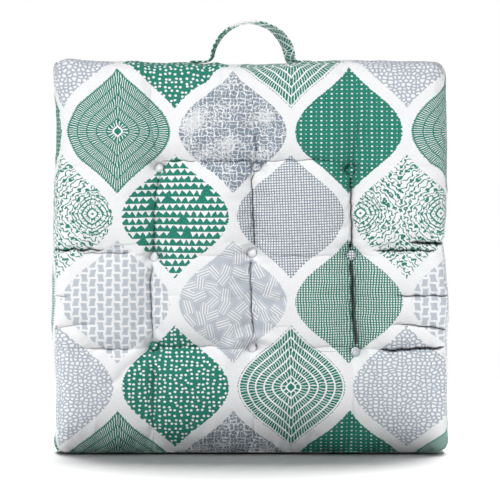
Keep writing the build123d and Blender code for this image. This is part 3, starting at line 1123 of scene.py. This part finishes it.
BACK_FOLDS = (
    Fold(UP, ((313, -148), (370, -151), (430, -142)), 9, 2.2, 8, 9, 24),
    Fold(UP, ((171, -151), (240, -147), (292, -151)), 10, 2.2, 8, 9, 24),
    Fold(UP, ((452, 8), (500, 5)), 6, 2.4, 18, 6, 22),
    Fold(UP, ((324, 5), (380, 7), (433, 7)), 11, 2.4, 8, 10, 24),
    Fold(UP, ((186, 4), (240, -2), (296, 0)), 10, 2.3, 8, 10, 24),
    Fold(UP, ((60, 3), (130, 2)), 6, 2.6, 24, 6, 24),
    Fold(UP, ((324, 154), (380, 150), (430, 153)), 12, 2.6, 8, 10, 26),
    Fold(UP, ((172, 160), (230, 156), (292, 154)), 12, 2.6, 8, 10, 26),
    Fold(LEVEL, ((-135, 441), (-60, 444), (0, 442)), 7, 1.7, 8, 5, 24),
    Fold(LEVEL, ((14, 441), (80, 439), (144, 437)), 7, 1.7, 8, 5, 24),
    Fold(LEVEL, ((-142, 304), (-70, 300), (-6, 308)), 5, 1.8, 8, 4, 24),
    Fold(LEVEL, ((8, 309), (80, 312), (146, 306)), 6, 1.8, 8, 4, 24),
    Fold(LEVEL, ((-142, 165), (-70, 161), (-6, 164)), 6, 1.7, 8, 5, 24),
    Fold(LEVEL, ((10, 164), (80, 160), (152, 158)), 6, 1.7, 8, 5, 24),
    Fold(LEVEL, ((-297, 306), (-210, 305)), 6, 2.4, 14, 3, 14),
    Fold(LEVEL, ((215, 301), (298, 303)), 6, 2.4, 14, 3, 14),
    Fold(LEVEL, ((-290, 168), (-215, 166)), 5, 2.2, 14, 3, 14),
    Fold(LEVEL, ((222, 152), (298, 150)), 5, 2.2, 14, 3, 14),
)


@dataclass
class FacePanel:
    """One face of the cover: rolled down to its seam, puffed between folds and tied down at the tufts."""

    side: Side
    outline: Outline
    folds: tuple[Fold, ...]
    tufts: Array  # (n, 2), across and height in mm
    seed: int
    seam_plane: float = 45 * MM
    rise: float = 14.5 * MM  # from the seam plane to the flat of the face
    roll: float = 21 * MM  # how far in from the seam the side edges roll
    foot_roll: float = 62 * MM  # and the lower edge, which leans back under the cushion's weight
    swell: float = 2.0 * MM  # how far the roll stands out past the seam
    puff: float = 6.0 * MM
    sag: float = 4.0 * MM  # how much further the filling pushes the lower puffs out
    tie_depth: float = 29.0  # mm, from the face to a button's seat
    tie_width: float = 9.0
    under_button: float = 7.0  # mm, the flat round a tie
    trough: float = 1.7  # how much deeper every valley is than its list says
    thickness: float = 1.2 * MM
    spare: float = 0.02  # share of cloth over what the face needs, which puckers
    travel: float = 5 * MM
    puff_columns: tuple[int, ...] = (-300, -148, 4, 156, 300)  # mm
    puff_rows: tuple[int, ...] = (0, 163, 305, 442, 600)
    fine_columns: tuple[int, ...] = (-148, 4, 155)  # mm, where grid lines crowd
    fine_rows: tuple[int, ...] = (158, 165, 197, 244, 311, 324, 450)

    @property
    def middle(self) -> float:
        """Height of the face's middle."""
        return (self.outline.low + self.outline.high) / 2

    def flat_half(self) -> tuple[float, float, float]:
        """Measures the cut sheet along the rolled cloth.

        Returns:
            Half its width, and its reach down and up from the middle.
        """
        side, foot = self._cut(self.roll) - self.roll, self._cut(self.foot_roll) - self.foot_roll
        half_height = (self.outline.high - self.outline.low) / 2
        return self.outline.half_width + side, half_height + foot, half_height + side

    def _cut(self, roll: float) -> float:
        """Cloth in a quarter ellipse, roll by rise: a quarter turn of the root mean square radius."""
        return math.pi / 2 * math.sqrt((roll * roll + self.rise * self.rise) / 2)

    def _edge(self, inwards: Array, foot: bool = False) -> tuple[Array, Array, Array]:
        """Takes cloth over an edge.

        By share of the way in, a rolled edge is a quarter ellipse. The foot is set in by share^1.2 and
        rises by 1 - (1 - share)^2.6. The swell is sin(pi share) (1 - share).

        Args:
            inwards: distance from the seam along the cloth.
            foot: whether it is the lower edge, which leans back all the way down.

        Returns:
            The inset, the share of the rise and the share of the swell.
        """
        roll = self.foot_roll if foot else self.roll
        share = np.clip(inwards / self._cut(roll), 0, 1)
        past = np.maximum(inwards - self._cut(roll), 0)
        swell = np.sin(math.pi * share) * (1 - share)
        if foot:
            return roll * share**1.2 + past, 1 - (1 - share) ** 2.6, swell * 0.6
        return roll * (1 - np.cos(share * math.pi / 2)) + past, np.sin(share * math.pi / 2), swell

    def surface(self, s: Array, t: Array) -> tuple[Array, Array]:
        """The face at flat places on its cloth.

        The heights of the two directions multiply, so the corners are pillowed. Puffs are a product of
        arches between tuft rows and columns. The valleys and ties are joined by the cube root of the
        sum of their cubes, so crossings don't add up. A tie is exp(-distance / width) with nine gathers.

        Args:
            s: place across the flat sheet, in metres from its middle.
            t: place up it, in metres from the middle of the face.

        Returns:
            The surface's points and how deep in a sharp fold each lies.
        """
        width, down, up = self.flat_half()
        above, sideways, upwards = t > 0, np.sign(s), np.where(t > 0, 1, -1)
        inset_x, high_x, swell_x = self._edge(width - np.abs(s))
        edges = zip(self._edge(up - t), self._edge(down + t, foot=True))
        inset_z, high_z, swell_z = (np.where(above, top, foot) for top, foot in edges)
        x = sideways * (self.outline.half_width - inset_x)
        z = self.middle + upwards * ((self.outline.high - self.outline.low) / 2 - inset_z)
        mm_x, mm_z = x / MM, z / MM
        x, z = self.outline.place(x, z)
        x = x + sideways * self.swell * swell_x * high_z
        z = z + upwards * self.swell * swell_z * high_x
        puff = self._arches(mm_x, self.puff_columns) * self._arches(mm_z, self.puff_rows)
        pressed = [fold.press(mm_x, mm_z) for fold in self.folds]
        sharp = np.max([crease for crease, _ in pressed] + [0 * mm_x], axis=0)
        troughs = sum((self.trough * valley) ** 3 for _, valley in pressed)
        for across, height in self.tufts:
            reach = np.hypot(mm_x - across, mm_z - height)
            angle = np.arctan2(mm_z - height, mm_x - across)
            gather = 1 + 0.05 * np.sin(9 * angle + across) * np.exp(-reach / 20) * np.clip(reach / 10, 0, 1)
            pull = np.exp(-np.maximum(reach - self.under_button, 0) * gather / self.tie_width)
            troughs += (self.tie_depth * pull) ** 3
            sharp = sharp * ease((reach - self.under_button) / 9)
        rims = high_x * high_z
        pucker = ripple(mm_x, mm_z, 16, self.seed) * (1 - rims) * 1.1
        uneven = ripple(mm_x, mm_z, 70, self.seed + 1) * 1.0 + ripple(mm_x, mm_z, 24, self.seed + 2) * 0.35
        belly = self.sag * np.exp(-(((mm_z - 78) / 48) ** 2))
        lift = rims * (self.rise + self.puff * puff + belly) + pucker * MM * ease(rims * 2)
        lift -= (np.cbrt(troughs) + sharp * 0.8 - uneven) * MM * ease(rims)
        points = np.stack((x, self.side.value * (self.seam_plane + lift), z), -1)
        return points, np.clip(sharp / 8.0, 0, 1) ** 5

    @staticmethod
    def _arches(at: Array, marks: tuple[int, ...]) -> Array:
        """Rounded arches, 0 at each mark and 1 midway: the root of the sine of the share between marks.

        Args:
            at: places.
            marks: the arches' feet, rising.

        Returns:
            The arches' heights.
        """
        feet = np.array(marks, float)
        left = np.clip(np.searchsorted(feet, at) - 1, 0, len(marks) - 2)
        share = np.clip((at - feet[left]) / (feet[left + 1] - feet[left]), 0, 1)
        return np.sqrt(np.sin(np.pi * share))

    def grid(self) -> tuple[Array, Array]:
        """Lays out the grid, whose lines crowd at the seams, the tuft columns and the folds.

        Lines near a tuft column follow its folds: each shifts by the folds' lean there, dying away
        sideways as exp(-(distance / 30 mm)^2).

        Returns:
            The flat places across and up.
        """
        width, down, up = self.flat_half()
        across = (-width, *(x * MM for x in self.fine_columns), width)
        heights = (-down, *(z * MM - self.middle for z in self.fine_rows), up)
        lines = graded(across, 0.8 * MM, 3.6 * MM, 18 * MM), graded(heights, 0.9 * MM, 3.6 * MM, 10 * MM)
        s, t = np.meshgrid(*lines)
        for anchor in across[1:-1]:
            upright = [at for fold in self.folds if fold.run is UP for at in fold.line]
            near = tuple(sorted(at for at in upright if abs(at[1] - anchor / MM) < 40))
            lean = through(near, (t + self.middle) / MM) * MM - anchor
            s = s + lean * np.exp(-(((s - anchor) / (30 * MM)) ** 2))
        return s, t

    def build(self, finishes: Finishes) -> Array:
        """Makes the panel as a closed shell of cloth.

        Args:
            finishes: the shared finishes.

        Returns:
            The grid of its outer places.
        """
        s, t = self.grid()
        outer, fold = self.surface(s, t)
        held = np.clip(fold * 3, 0, 1)
        held[[0, -1], :] = held[:, [0, -1]] = 1
        for across, height in self.tufts:
            reach = np.hypot(outer[..., 0] / MM - across, outer[..., 2] / MM - height)
            held = np.maximum(held, np.clip((2 * self.under_button - reach) / 6, 0, 1))
        outer = settled(outer, held, self.spare, self.travel)
        points, cloth = outer, np.stack((s, t + self.middle), -1)
        if self.side is Side.BACK:
            points, cloth, fold = points[:, ::-1], cloth[:, ::-1] * (-1, 1), fold[:, ::-1]
        node = f"{self.side.name.lower()}_panel"
        panel = shell(f"{node}_cloth", points, self.thickness, cloth, fold)
        declare(panel, finishes.cotton, "printed_cotton", node, stuffed=True)
        return outer


@dataclass
class Boxing:
    """The four strips round the cushion between its two faces, and the seams that join them all."""

    front: Outline
    back: Outline
    seam_plane: float = 45 * MM
    thickness: float = 1.2 * MM
    belly: tuple[float, ...] = (4.5, 4.0, 7.0, 4.0)  # mm, in the order of Edge
    length: float = 600.0  # mm along a strip
    depth: float = 90.0  # mm across it
    beyond: tuple[float, float] = (315 * MM, 620 * MM)  # where side and level strips take up the print
    floor: float = 0.3 * MM  # the lower strip is pressed flat here
    rest_height: float = 599.9 * MM  # the handle's sewn ends lie here
    rest_middle: float = 76  # mm, how far out the sewn ends are

    def surface(self, edge: Edge, along: Array, across: Array) -> Array:
        """One strip: it runs straight from seam to seam and bellies outwards as the sine to the power 0.6.

        Args:
            edge: which strip.
            along: share of the way along the edge.
            across: share of the way from the front seam to the back seam.

        Returns:
            The strip's places.
        """
        near, out = self.front.edge(edge, along)
        far, _ = self.back.edge(edge, along)
        number = list(Edge).index(edge)
        seed = 40 + number
        run, depth = along * self.length, across * self.depth
        rim = np.exp(-np.minimum(across, 1 - across) * 12)
        uneven = ripple(run, depth, 60, seed) * 0.9 + ripple(run, depth, 22, seed + 10) * 0.4
        uneven += ripple(run, 0 * depth, 15, seed + 20) * rim * 0.8
        arch = np.sin(np.pi * across)
        points = near * (1 - across[..., None]) + far * across[..., None]
        points += out * ((self.belly[number] * arch**0.6 + uneven * np.sqrt(arch)) * MM)[..., None]
        points[..., 1] = self.seam_plane * (2 * across - 1)
        if edge is Edge.BOTTOM:
            points[..., 2] = np.maximum(points[..., 2], self.floor)
        if edge is Edge.TOP:
            x, y = np.abs(points[..., 0]) / MM, np.abs(points[..., 1]) / MM
            under = ease(2.2 - np.abs(x - self.rest_middle) / 12) * ease(2.6 - y / 9)
            points[..., 2] -= np.maximum(points[..., 2] - self.rest_height, 0) * under
        return points

    def build(self, finishes: Finishes) -> None:
        """Makes the four strips, the two face seams and the four corner seams.

        Args:
            finishes: the shared finishes.
        """
        ends = (0.0, 1.0)
        lines = graded(ends, 0.012, 0.05, 0.3), graded(ends, 0.0025, 0.0065, 0.06)
        across, along = np.meshgrid(*lines)
        for edge in Edge:
            points = self.surface(edge, along, across)
            sideways, up = edge.value
            run, depth = along * self.length * MM, across * self.depth * MM
            cloth = (self.beyond[0] + depth) * sideways, run
            if up:
                cloth = run - self.length * MM / 2, self.beyond[1] * up + depth
            cloth = np.stack(cloth, -1)
            if (normals(points) * self.front.edge(edge, along)[1]).sum() < 0:
                points, cloth = points[::-1], cloth[::-1]
            node = f"{edge.name.lower()}_boxing"
            strip = shell(f"{node}_cloth", points, self.thickness, cloth)
            declare(strip, finishes.cotton, "printed_cotton", node, stuffed=True)
        share = np.linspace(0, 1, 300)
        for side, outline in ((Side.FRONT, self.front), (Side.BACK, self.back)):
            seam, away = [], []
            for place, out in (outline.edge(edge, share) for edge in Edge):
                seam.append(place + (0, side.value * self.seam_plane, 0) - out * 0.2 * MM)
                away.append(out + (0, float(side.value), 0))
            self._sew(f"{side.name.lower()}_seam", seam, away, finishes)
        share = np.linspace(0.02, 0.98, 60)
        corners = [(edge, np.full_like(share, end)) for edge in (Edge.LEFT, Edge.RIGHT) for end in ends]
        seam = [self.surface(edge, end, share) for edge, end in corners]
        self._sew("corner_seams", seam, [self.front.edge(edge, end)[1] for edge, end in corners], finishes)

    @staticmethod
    def _sew(node: str, seam: list[Array], away: list[Array], finishes: Finishes) -> None:
        """Args:
            node: the CAD node it stands for.
            seam: runs of places along the seam.
            away: directions out of the cloth there.
            finishes: the shared finishes.
        """
        thread = stitches(f"{node}_stitches", seam, away, *SEAM_STITCH)
        declare(thread, finishes.thread, "sewing_thread", node)


@dataclass
class Filling:
    """The block of carded fibre inside the cover, a few millimetres clear of it all over."""

    front: Array  # the front panel's outer places
    back: Array
    half: tuple[float, float, float] = (292 * MM, 9 * MM, 591 * MM)  # half width, lowest and highest
    cell: float = 6 * MM
    deepest: float = 58 * MM
    clearance: float = 3.2 * MM
    sides: int = 8
    bulge: float = 4 * MM
    unevenness: float = 0.6 * MM

    def _depth(self, cover: Array, x: Array, z: Array) -> Array:
        """How deep the fibre may reach behind a cover: its shallowest place in the cells round about.

        Args:
            cover: the cover's outer places.
            x: places across of the block's grid.
            z: heights of it.

        Returns:
            The depth at each place of the grid.
        """
        columns = np.rint((cover[..., 0] - x[0, 0]) / self.cell).astype(int)
        rows = np.rint((cover[..., 2] - z[0, 0]) / self.cell).astype(int)
        inside = (columns >= 0) & (columns < x.shape[1]) & (rows >= 0) & (rows < x.shape[0])
        depth = np.full(x.shape, self.deepest)
        np.minimum.at(depth, (rows[inside], columns[inside]), np.abs(cover[..., 1])[inside])
        around = partial(np.lib.stride_tricks.sliding_window_view, window_shape=(3, 3))
        lowest = around(np.pad(depth, 1, mode="edge")).min(axis=(2, 3))
        mean = around(np.pad(lowest, 1, mode="edge")).mean(axis=(2, 3))
        return np.minimum(mean, lowest) - self.clearance

    def build(self, finishes: Finishes) -> None:
        """Makes the block as one closed surface: two dimpled faces joined by sides that bulge as a sine.

        Args:
            finishes: the shared finishes.
        """
        width, low, high = self.half
        across = np.arange(-width, width + self.cell / 2, self.cell)
        x, z = np.meshgrid(across, np.arange(low, high + self.cell / 2, self.cell))
        draw = ripple(x / MM, z / MM, 30, 77) * self.unevenness
        near = np.stack((x, draw - self._depth(self.front, x, z), z), -1).reshape(-1, 3)
        far = np.stack((x, self._depth(self.back, x, z) - draw, z), -1).reshape(-1, 3)
        loop = border(*x.shape)
        off = near[loop] - (0, 0, (low + high) / 2)
        out = np.sign(off) * (np.abs(off) > (width - 1e-6, 1, (high - low) / 2 - 4 * MM))
        share = np.linspace(0, 1, self.sides + 2)[1:-1, None, None]
        bulged = out * np.sin(np.pi * share) ** 0.6 * self.bulge
        side = near[loop] * (1 - share) + far[loop] * share + bulged
        inner = np.arange(self.sides * len(loop)).reshape(self.sides, -1) + 2 * x.size
        faces, rim = quads(*x.shape), belts(np.concatenate((loop[None], inner, loop[None] + x.size)))
        points = np.concatenate((near, far, side.reshape(-1, 3)))
        block = new_piece("fibre_block", points, np.concatenate((faces, faces[:, ::-1] + x.size, rim)))
        declare(block, finishes.fibre, "polyester_fibre", "fibre_filling", stuffed=True)


@dataclass
class Buttons:
    """The eighteen covered buttons that the tufting twines pull down into the faces."""

    tufts: Array
    prints: Stations  # mm, where each front button's cloth was cut from
    radius: float = 7.5 * MM
    seat: float = 31.5 * MM
    sides: int = 44
    pleat: float = 0.022  # height of a pleat as a share of the radius
    # (radius, height) in mm: over the dome, round the rim and back in under the cloth's turned edge
    profile: Stations = (
        *((0.0, 5.9), (1.2, 5.86), (2.4, 5.7), (3.6, 5.42), (4.7, 5.0), (5.6, 4.5), (6.4, 3.85)),
        *((7.0, 3.1), (7.4, 2.3), (7.5, 1.6), (7.3, 0.9), (6.9, 0.35), (6.2, 0.05), (5.4, 0.0)),
        *((5.3, 0.35), (6.2, 0.6), (6.75, 1.2), (6.85, 2.2), (6.3, 3.2), (5.0, 4.3), (2.6, 5.1), (0.0, 5.3)),
    )

    def build(self, finishes: Finishes) -> None:
        """Makes each cover by turning its profile. Pleats under the rim ripple its edge as two sines.

        Args:
            finishes: the shared finishes.
        """
        points, faces, poles, angle = turned(np.array(self.profile) * MM, self.sides)
        rim = np.clip(np.hypot(points[:, 0], points[:, 1]) / self.radius * 3 - 2, 0, 1)
        columns = ("left", "centre", "right")
        names = [f"{row}_{column}" for row in ("top", "middle", "bottom") for column in columns]
        for side in Side:
            for number, (across, height) in enumerate(self.tufts):
                pleat = np.sin(11 * angle + number) * 0.6
                pleat += np.sin(17 * angle + 2 * number + side.value) * 0.4
                x, y = points[:, :2].T * (1 + self.pleat * pleat * rim)
                depth = side.value * (self.seat + points[:, 2])
                placed = (across * MM + x, depth, height * MM - side.value * y)
                cut = self.prints[number if side is Side.FRONT else -1 - number]
                cloth = np.stack((x, y), -1) + np.array(cut) * MM
                node = f"{side.name.lower()}_button_{names[number]}"
                cover = new_piece(f"{node}_cover", np.stack(placed, -1), faces, cloth, triangles=poles)
                declare(cover, finishes.cotton, "printed_cotton", node)


@dataclass
class Handle:
    """The carry handle: a folded strap of the same cotton round a webbing, sewn down at both ends."""

    radius: float = 60 * MM
    centre: float = 602 * MM
    foot_radius: float = 10.5 * MM
    sewn_to: float = 94.8 * MM
    lie: float = 601.6 * MM  # height of the strap's middle where it is sewn down
    thickness: float = 3.2 * MM
    width: float = 24 * MM
    webbing: tuple[float, float] = (20 * MM, 1.4 * MM)
    fold_zone: tuple[float, float] = (603.4 * MM, 621 * MM)
    rows: float = 9.5 * MM  # from the middle line to the stitching along each edge
    rows_reach: tuple[float, float] = (0.125, 0.875)  # shares of the line that it starts and ends at
    box: tuple[float, float, float] = (74 * MM, 92 * MM, 9 * MM)  # its inner and outer end, half its width
    # turn of the strap about its own line, in degrees, by share of the way from the left end to the right
    twist: Stations = (
        *((0.0, 0), (0.12, 0), (0.17, 10), (0.3, 10), (0.48, 3), (0.6, 16)),
        *((0.7, 34), (0.8, 44), (0.86, 42), (0.905, 6), (0.93, 0), (1.0, 0)),
    )
    cut_from: tuple[float, float] = (-141.5 * MM, 129 * MM)  # place of the left end on the print

    def line(self, count: int) -> tuple[Array, Array, Array, Array]:
        """The strap's middle line with its directions.

        From the left end it runs level to the foot, turns up through a quarter circle, follows the
        half circle of the arch, and comes down to the right end in the same way.

        Args:
            count: how many places to give, evenly spaced.

        Returns:
            The share along, the places, the direction across the strap and the one out of its upper face.
        """
        foot = self.radius + self.foot_radius
        corner = np.linspace(0, math.pi / 2, 24)[1:]
        level = np.linspace(self.sewn_to, foot, 14)
        up = math.asin((self.lie + self.foot_radius - self.centre) / self.radius)
        arch = np.linspace(up, math.pi / 2, 60)[1:]
        step, rise = foot - self.radius * math.cos(up), 1 - np.cos(corner)
        right = np.concatenate(
            (
                np.stack((level, np.full_like(level, self.lie)), -1),
                np.stack((foot - np.sin(corner) * step, self.lie + rise * self.foot_radius), -1),
                np.stack((self.radius * np.cos(arch), self.centre + self.radius * np.sin(arch)), -1),
            )
        )
        whole = np.concatenate((right * (-1, 1), right[-2::-1]))
        length, share = running(whole), np.linspace(0, 1, count)
        x, z = (np.interp(share * length[-1], length, whole[:, k]) for k in (0, 1))
        for _ in range(3):
            x[1:-1] = (x[:-2] + 2 * x[1:-1] + x[2:]) / 4
            z[1:-1] = (z[:-2] + 2 * z[1:-1] + z[2:]) / 4
        place = np.stack((x, np.zeros_like(x), z), -1)
        flat_across = np.broadcast_to(np.array((0.0, 1.0, 0.0)), place.shape)
        flat_out = np.cross(unit(np.gradient(place, axis=0)), -flat_across)
        turn = np.radians(through(self.twist, share))[:, None]
        across = flat_across * np.cos(turn) + flat_out * np.sin(turn)
        return share, place, across, flat_out * np.cos(turn) - flat_across * np.sin(turn)

    def _band(
        self, name: str, width: float, thickness: float, trim: float, count: int, wrinkle: float
    ) -> bpy.types.Object:
        """A flat band along the line: a rounded oblong carried along it and closed at both ends.

        Going round by an angle, the oblong's half width follows cos^0.28 and its half thickness sin^0.5.

        Args:
            name: the piece's name.
            width: across the band.
            thickness: through it.
            trim: how much of the line's share is left off at each end.
            count: how many sections.
            wrinkle: height of the cloth's unevenness, in mm.

        Returns:
            The new object.
        """
        kept = (np.linspace(0, 1, count) >= trim) & (np.linspace(0, 1, count) <= 1 - trim)
        share, place, across, out = (values[kept] for values in self.line(count))
        around = np.linspace(0, TAU, 40, endpoint=False)
        side = np.sign(np.cos(around)) * np.abs(np.cos(around)) ** 0.28
        rise = np.sign(np.sin(around)) * np.abs(np.sin(around)) ** 0.5
        along, turn = np.meshgrid(share * running(self.line(400)[1])[-1] / MM, around, indexing="ij")
        uneven = (ripple(along, turn * 4, 11, 90) + ripple(along, turn * 4, 34, 91)) * wrinkle * MM
        ends = ease(np.minimum(share - share[0], share[-1] - share) / 0.012)[:, None]
        half_rise = (thickness / 2 * (0.35 + 0.65 * ends) + uneven * ends) * rise
        half_side = (width / 2 + uneven * 0.6 * ends) * side
        rings = across[:, None] * half_side[..., None] + out[:, None] * half_rise[..., None]
        rings += place[:, None]
        wound = running(np.stack((side * width, rise * thickness), -1) / 2) - width * 0.75
        cloth = np.stack((self.cut_from[0] + along * MM, self.cut_from[1] + wound + 0 * along), -1)
        points, faces, caps = tube(rings, place[[0, -1]])
        cloth = np.concatenate((cloth.reshape(-1, 2), cloth[[0, -1], 0]))
        return new_piece(name, points, faces, cloth, triangles=caps)

    def build(self, finishes: Finishes) -> None:
        """Makes the strap, its webbing and its stitching.

        Args:
            finishes: the shared finishes.
        """
        bend = {"bends": self.fold_zone}
        strap = self._band("handle_strap_cloth", self.width, self.thickness, 0.0, 420, 0.16)
        ends = ("handle_left_end", "handle_right_end")
        declare(strap, finishes.cotton, "printed_cotton", "handle_strap", *ends, **bend)
        core = self._band("handle_webbing_core", *self.webbing, 0.11, 300, 0.0)
        declare(core, finishes.webbing, "cotton_webbing", "handle_webbing", **bend)
        share, place, across, out = self.line(700)
        row = (share > self.rows_reach[0]) & (share < self.rows_reach[1])
        paths, away = [], []
        for edge in (-self.rows, self.rows):
            for face in (-1, 1):
                paths.append((place + across * edge + out * face * (self.thickness / 2 + 0.05 * MM))[row])
                away.append((out * face)[row])
        edges = stitches("handle_edge_stitches", paths, away, *EDGE_STITCH)
        declare(edges, finishes.thread, "sewing_thread", "handle_edge_stitching", **bend)
        near, far, deep = self.box
        box = [(near, -deep), (far, -deep), (far, deep), (near, deep), (near, -deep), (far, deep)]
        way, top = np.linspace(0, 1, 12), self.lie + self.thickness / 2 + 0.08 * MM
        paths = []
        for mirror in (-1, 1):
            for (x0, y0), (x1, y1) in [*zip(box, box[1:]), ((near, deep), (far, -deep))]:
                run = (mirror * (x0 + (x1 - x0) * way), y0 + (y1 - y0) * way, np.full_like(way, top))
                paths.append(np.stack(run, -1))
        away = [np.broadcast_to(np.array((0.0, 0.0, 1.0)), run.shape) for run in paths]
        boxes = stitches("handle_end_stitches", paths, away, *BOX_STITCH)
        declare(boxes, finishes.thread, "sewing_thread", "handle_end_stitching")


@dataclass(frozen=True)
class Studio:
    """Pale floor, soft light and the camera."""

    distance: float = 6.0
    elevation: float = 2.0  # degrees
    view_width: float = 0.770
    sensor: float = 36.0
    aim: tuple[float, float, float] = (-0.0015, 0.0, 0.312)
    lamps_aim: tuple[float, float, float] = (0.0, 0.0, 0.3)
    ambient: float = 0.2
    floor: tuple[float, float, float] = (2.2, -2.4, 1.6)  # half width, nearest and farthest
    floor_tones: tuple[str, str] = ("#e5e5e5", "#e9e9e9")
    # name, place, width, power and whether it lights the floor or the cushion; both cast shadows on both
    lamps: tuple[tuple[str, tuple[float, float, float], float, float, bool], ...] = (
        ("key_softbox", (-0.6, -2.45, 3.4), 0.8, 116.0, False),
        ("floor_softbox", (0.1, 1.7, 2.4), 3.0, 400.0, True),
    )

    def build(self) -> None:
        """Lays the floor, hangs the lights and sets the camera."""
        scene = bpy.context.scene
        scene.view_settings.view_transform = "Standard"
        side, near, far = self.floor
        corners = np.array([(-side, near, 0), (side, near, 0), (side, far, 0), (-side, far, 0)], float)
        floor = new_piece("studio_floor", corners, np.array([[0, 1, 2, 3]]))
        material, tree = new_material("painted_floor_matt")
        n = partial(add_node, tree)
        mottle = n("TexNoise", n("TexCoord", out="Object"), at={"Scale": 6.0})
        dark, light = (linear(tone) for tone in self.floor_tones)
        tone = n("Mix", mottle, data_type="RGBA", out=2, at={6: dark, 7: light})
        n("OutputMaterial", n("BsdfPrincipled", tone, at={"Roughness": 0.9, "Specular IOR Level": 0.1}))
        dress(floor, material)
        scene.world = bpy.data.worlds.new("studio_air")
        scene.world.use_nodes = True
        scene.world.node_tree.nodes.clear()
        air = partial(add_node, scene.world.node_tree)
        # The backdrop is white to the eye, while the light it sheds is softer.
        glow = air("Mix", air("LightPath"), at={2: self.ambient, 3: 1.0})
        air("OutputWorld", air("Background", (1, 1, 1, 1), glow))
        lit = {}
        for whole in (False, True):
            lit[whole] = bpy.data.collections.new("lit_floor" if whole else "lit_cushion")
            for piece in scene.objects:
                if piece.type == "MESH" and (piece == floor) == whole:
                    lit[whole].objects.link(piece)
        for name, place, size, power, whole in self.lamps:
            light = bpy.data.lights.new(name, "AREA")
            light.energy, light.size = power, size
            lamp = self._hang(name, light, Vector(place), Vector(self.lamps_aim))
            lamp.light_linking.receiver_collection = lit[whole]
        lens = bpy.data.cameras.new("camera")
        lens.sensor_width, lens.clip_end = self.sensor, 100
        lens.lens = self.sensor * self.distance / self.view_width
        tilt = math.radians(self.elevation)
        back = Vector((0, -math.cos(tilt), math.sin(tilt))) * self.distance
        scene.camera = self._hang("camera", lens, Vector(self.aim) + back, Vector(self.aim))

    @staticmethod
    def _hang(name: str, data: bpy.types.ID, place: Vector, aim: Vector) -> bpy.types.Object:
        """Puts a lamp or camera at a place, turned to its aim.

        Args:
            name: the object's name.
            data: the light or camera.
            place: where it stands.
            aim: what it looks at.

        Returns:
            The new object.
        """
        thing = bpy.data.objects.new(name, data)
        thing.location = place
        thing.rotation_euler = (aim - place).to_track_quat("-Z", "Y").to_euler()
        bpy.context.scene.collection.objects.link(thing)
        return thing


@dataclass
class Cushion:
    """The stuffed part: both faces, the boxing, the filling and the buttons. Places are in mm."""

    tufts: Stations = (
        *((-140, 439), (8, 441), (152, 436), (-148, 303), (1.5, 309)),
        *((154, 305), (-148.5, 165), (2, 164), (160, 157)),
    )
    button_prints: Stations = (
        *((-114.7, 495), (-26, 486), (151, 492), (-113, 488), (61, 495)),
        *((62, 364), (-115, 100), (-26, 364), (-31, 234)),
    )
    front: Outline = Outline(
        left=(
            *((0, 0), (44, -2), (93, -4), (140, -2), (204, 4), (238, 3)),
            *((329, 1), (414, 0), (451, -3), (476, -6), (523, -5), (597, 1)),
        ),
        right=(
            *((31, 3), (93, 2), (184, 0), (234, 4), (280, -1), (325, -6)),
            *((333, -2), (391, 1), (427, 0), (563, -2), (597, -1)),
        ),
        top=(
            *((-304, 2), (-277, 8), (-248, 3), (-216, 1), (-192, 2), (-175, 4)),
            *((-152, 0), (-92, 1), (-69, -3), (-55, 1), (-40, -3), (-1, -4)),
            *((47, -2), (60, 1), (109, 3), (146, 4), (219, 2), (287, 2)),
        ),
    )
    back: Outline = Outline(
        corners=(16.0, 16.0, 16.0, 16.0),
        left=((0, 0), (80, -3), (200, 2), (330, -1), (480, -5), (597, 0)),
        right=((0, 2), (90, 1), (210, 3), (320, -4), (440, 1), (597, -1)),
        top=((-300, 3), (-190, 2), (-150, -1), (-60, -2), (0, -3), (60, -1), (150, 3), (287, 2)),
    )

    def build(self, finishes: Finishes) -> None:
        """Makes the cushion from its faces inwards.

        Args:
            finishes: the shared finishes.
        """
        tufts = np.array(self.tufts, float)
        front = FacePanel(Side.FRONT, self.front, FRONT_FOLDS, tufts, 11).build(finishes)
        back = FacePanel(Side.BACK, self.back, BACK_FOLDS, tufts, 23).build(finishes)
        Boxing(self.front, self.back).build(finishes)
        Filling(front, back).build(finishes)
        Buttons(tufts, self.button_prints).build(finishes)


def dress_frame(finishes: Finishes) -> None:
    """Finishes the CAD pieces that keep their shapes: the steel inside the buttons, and the twines.

    Args:
        finishes: the shared finishes.
    """
    for name, node in frame["nodes"].items():
        dress(node, finishes.steel if name.endswith(("shells", "plates", "shanks")) else finishes.twine)


def main() -> None:
    """Builds the sub-assemblies in order, then the studio round them."""
    logging.basicConfig(level=logging.INFO, format="%(name)s: %(message)s")
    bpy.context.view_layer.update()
    finishes = Finishes()
    Cushion().build(finishes)
    Handle().build(finishes)
    dress_frame(finishes)
    Studio().build()
    bpy.context.view_layer.update()


if __name__ == "__main__":
    main()
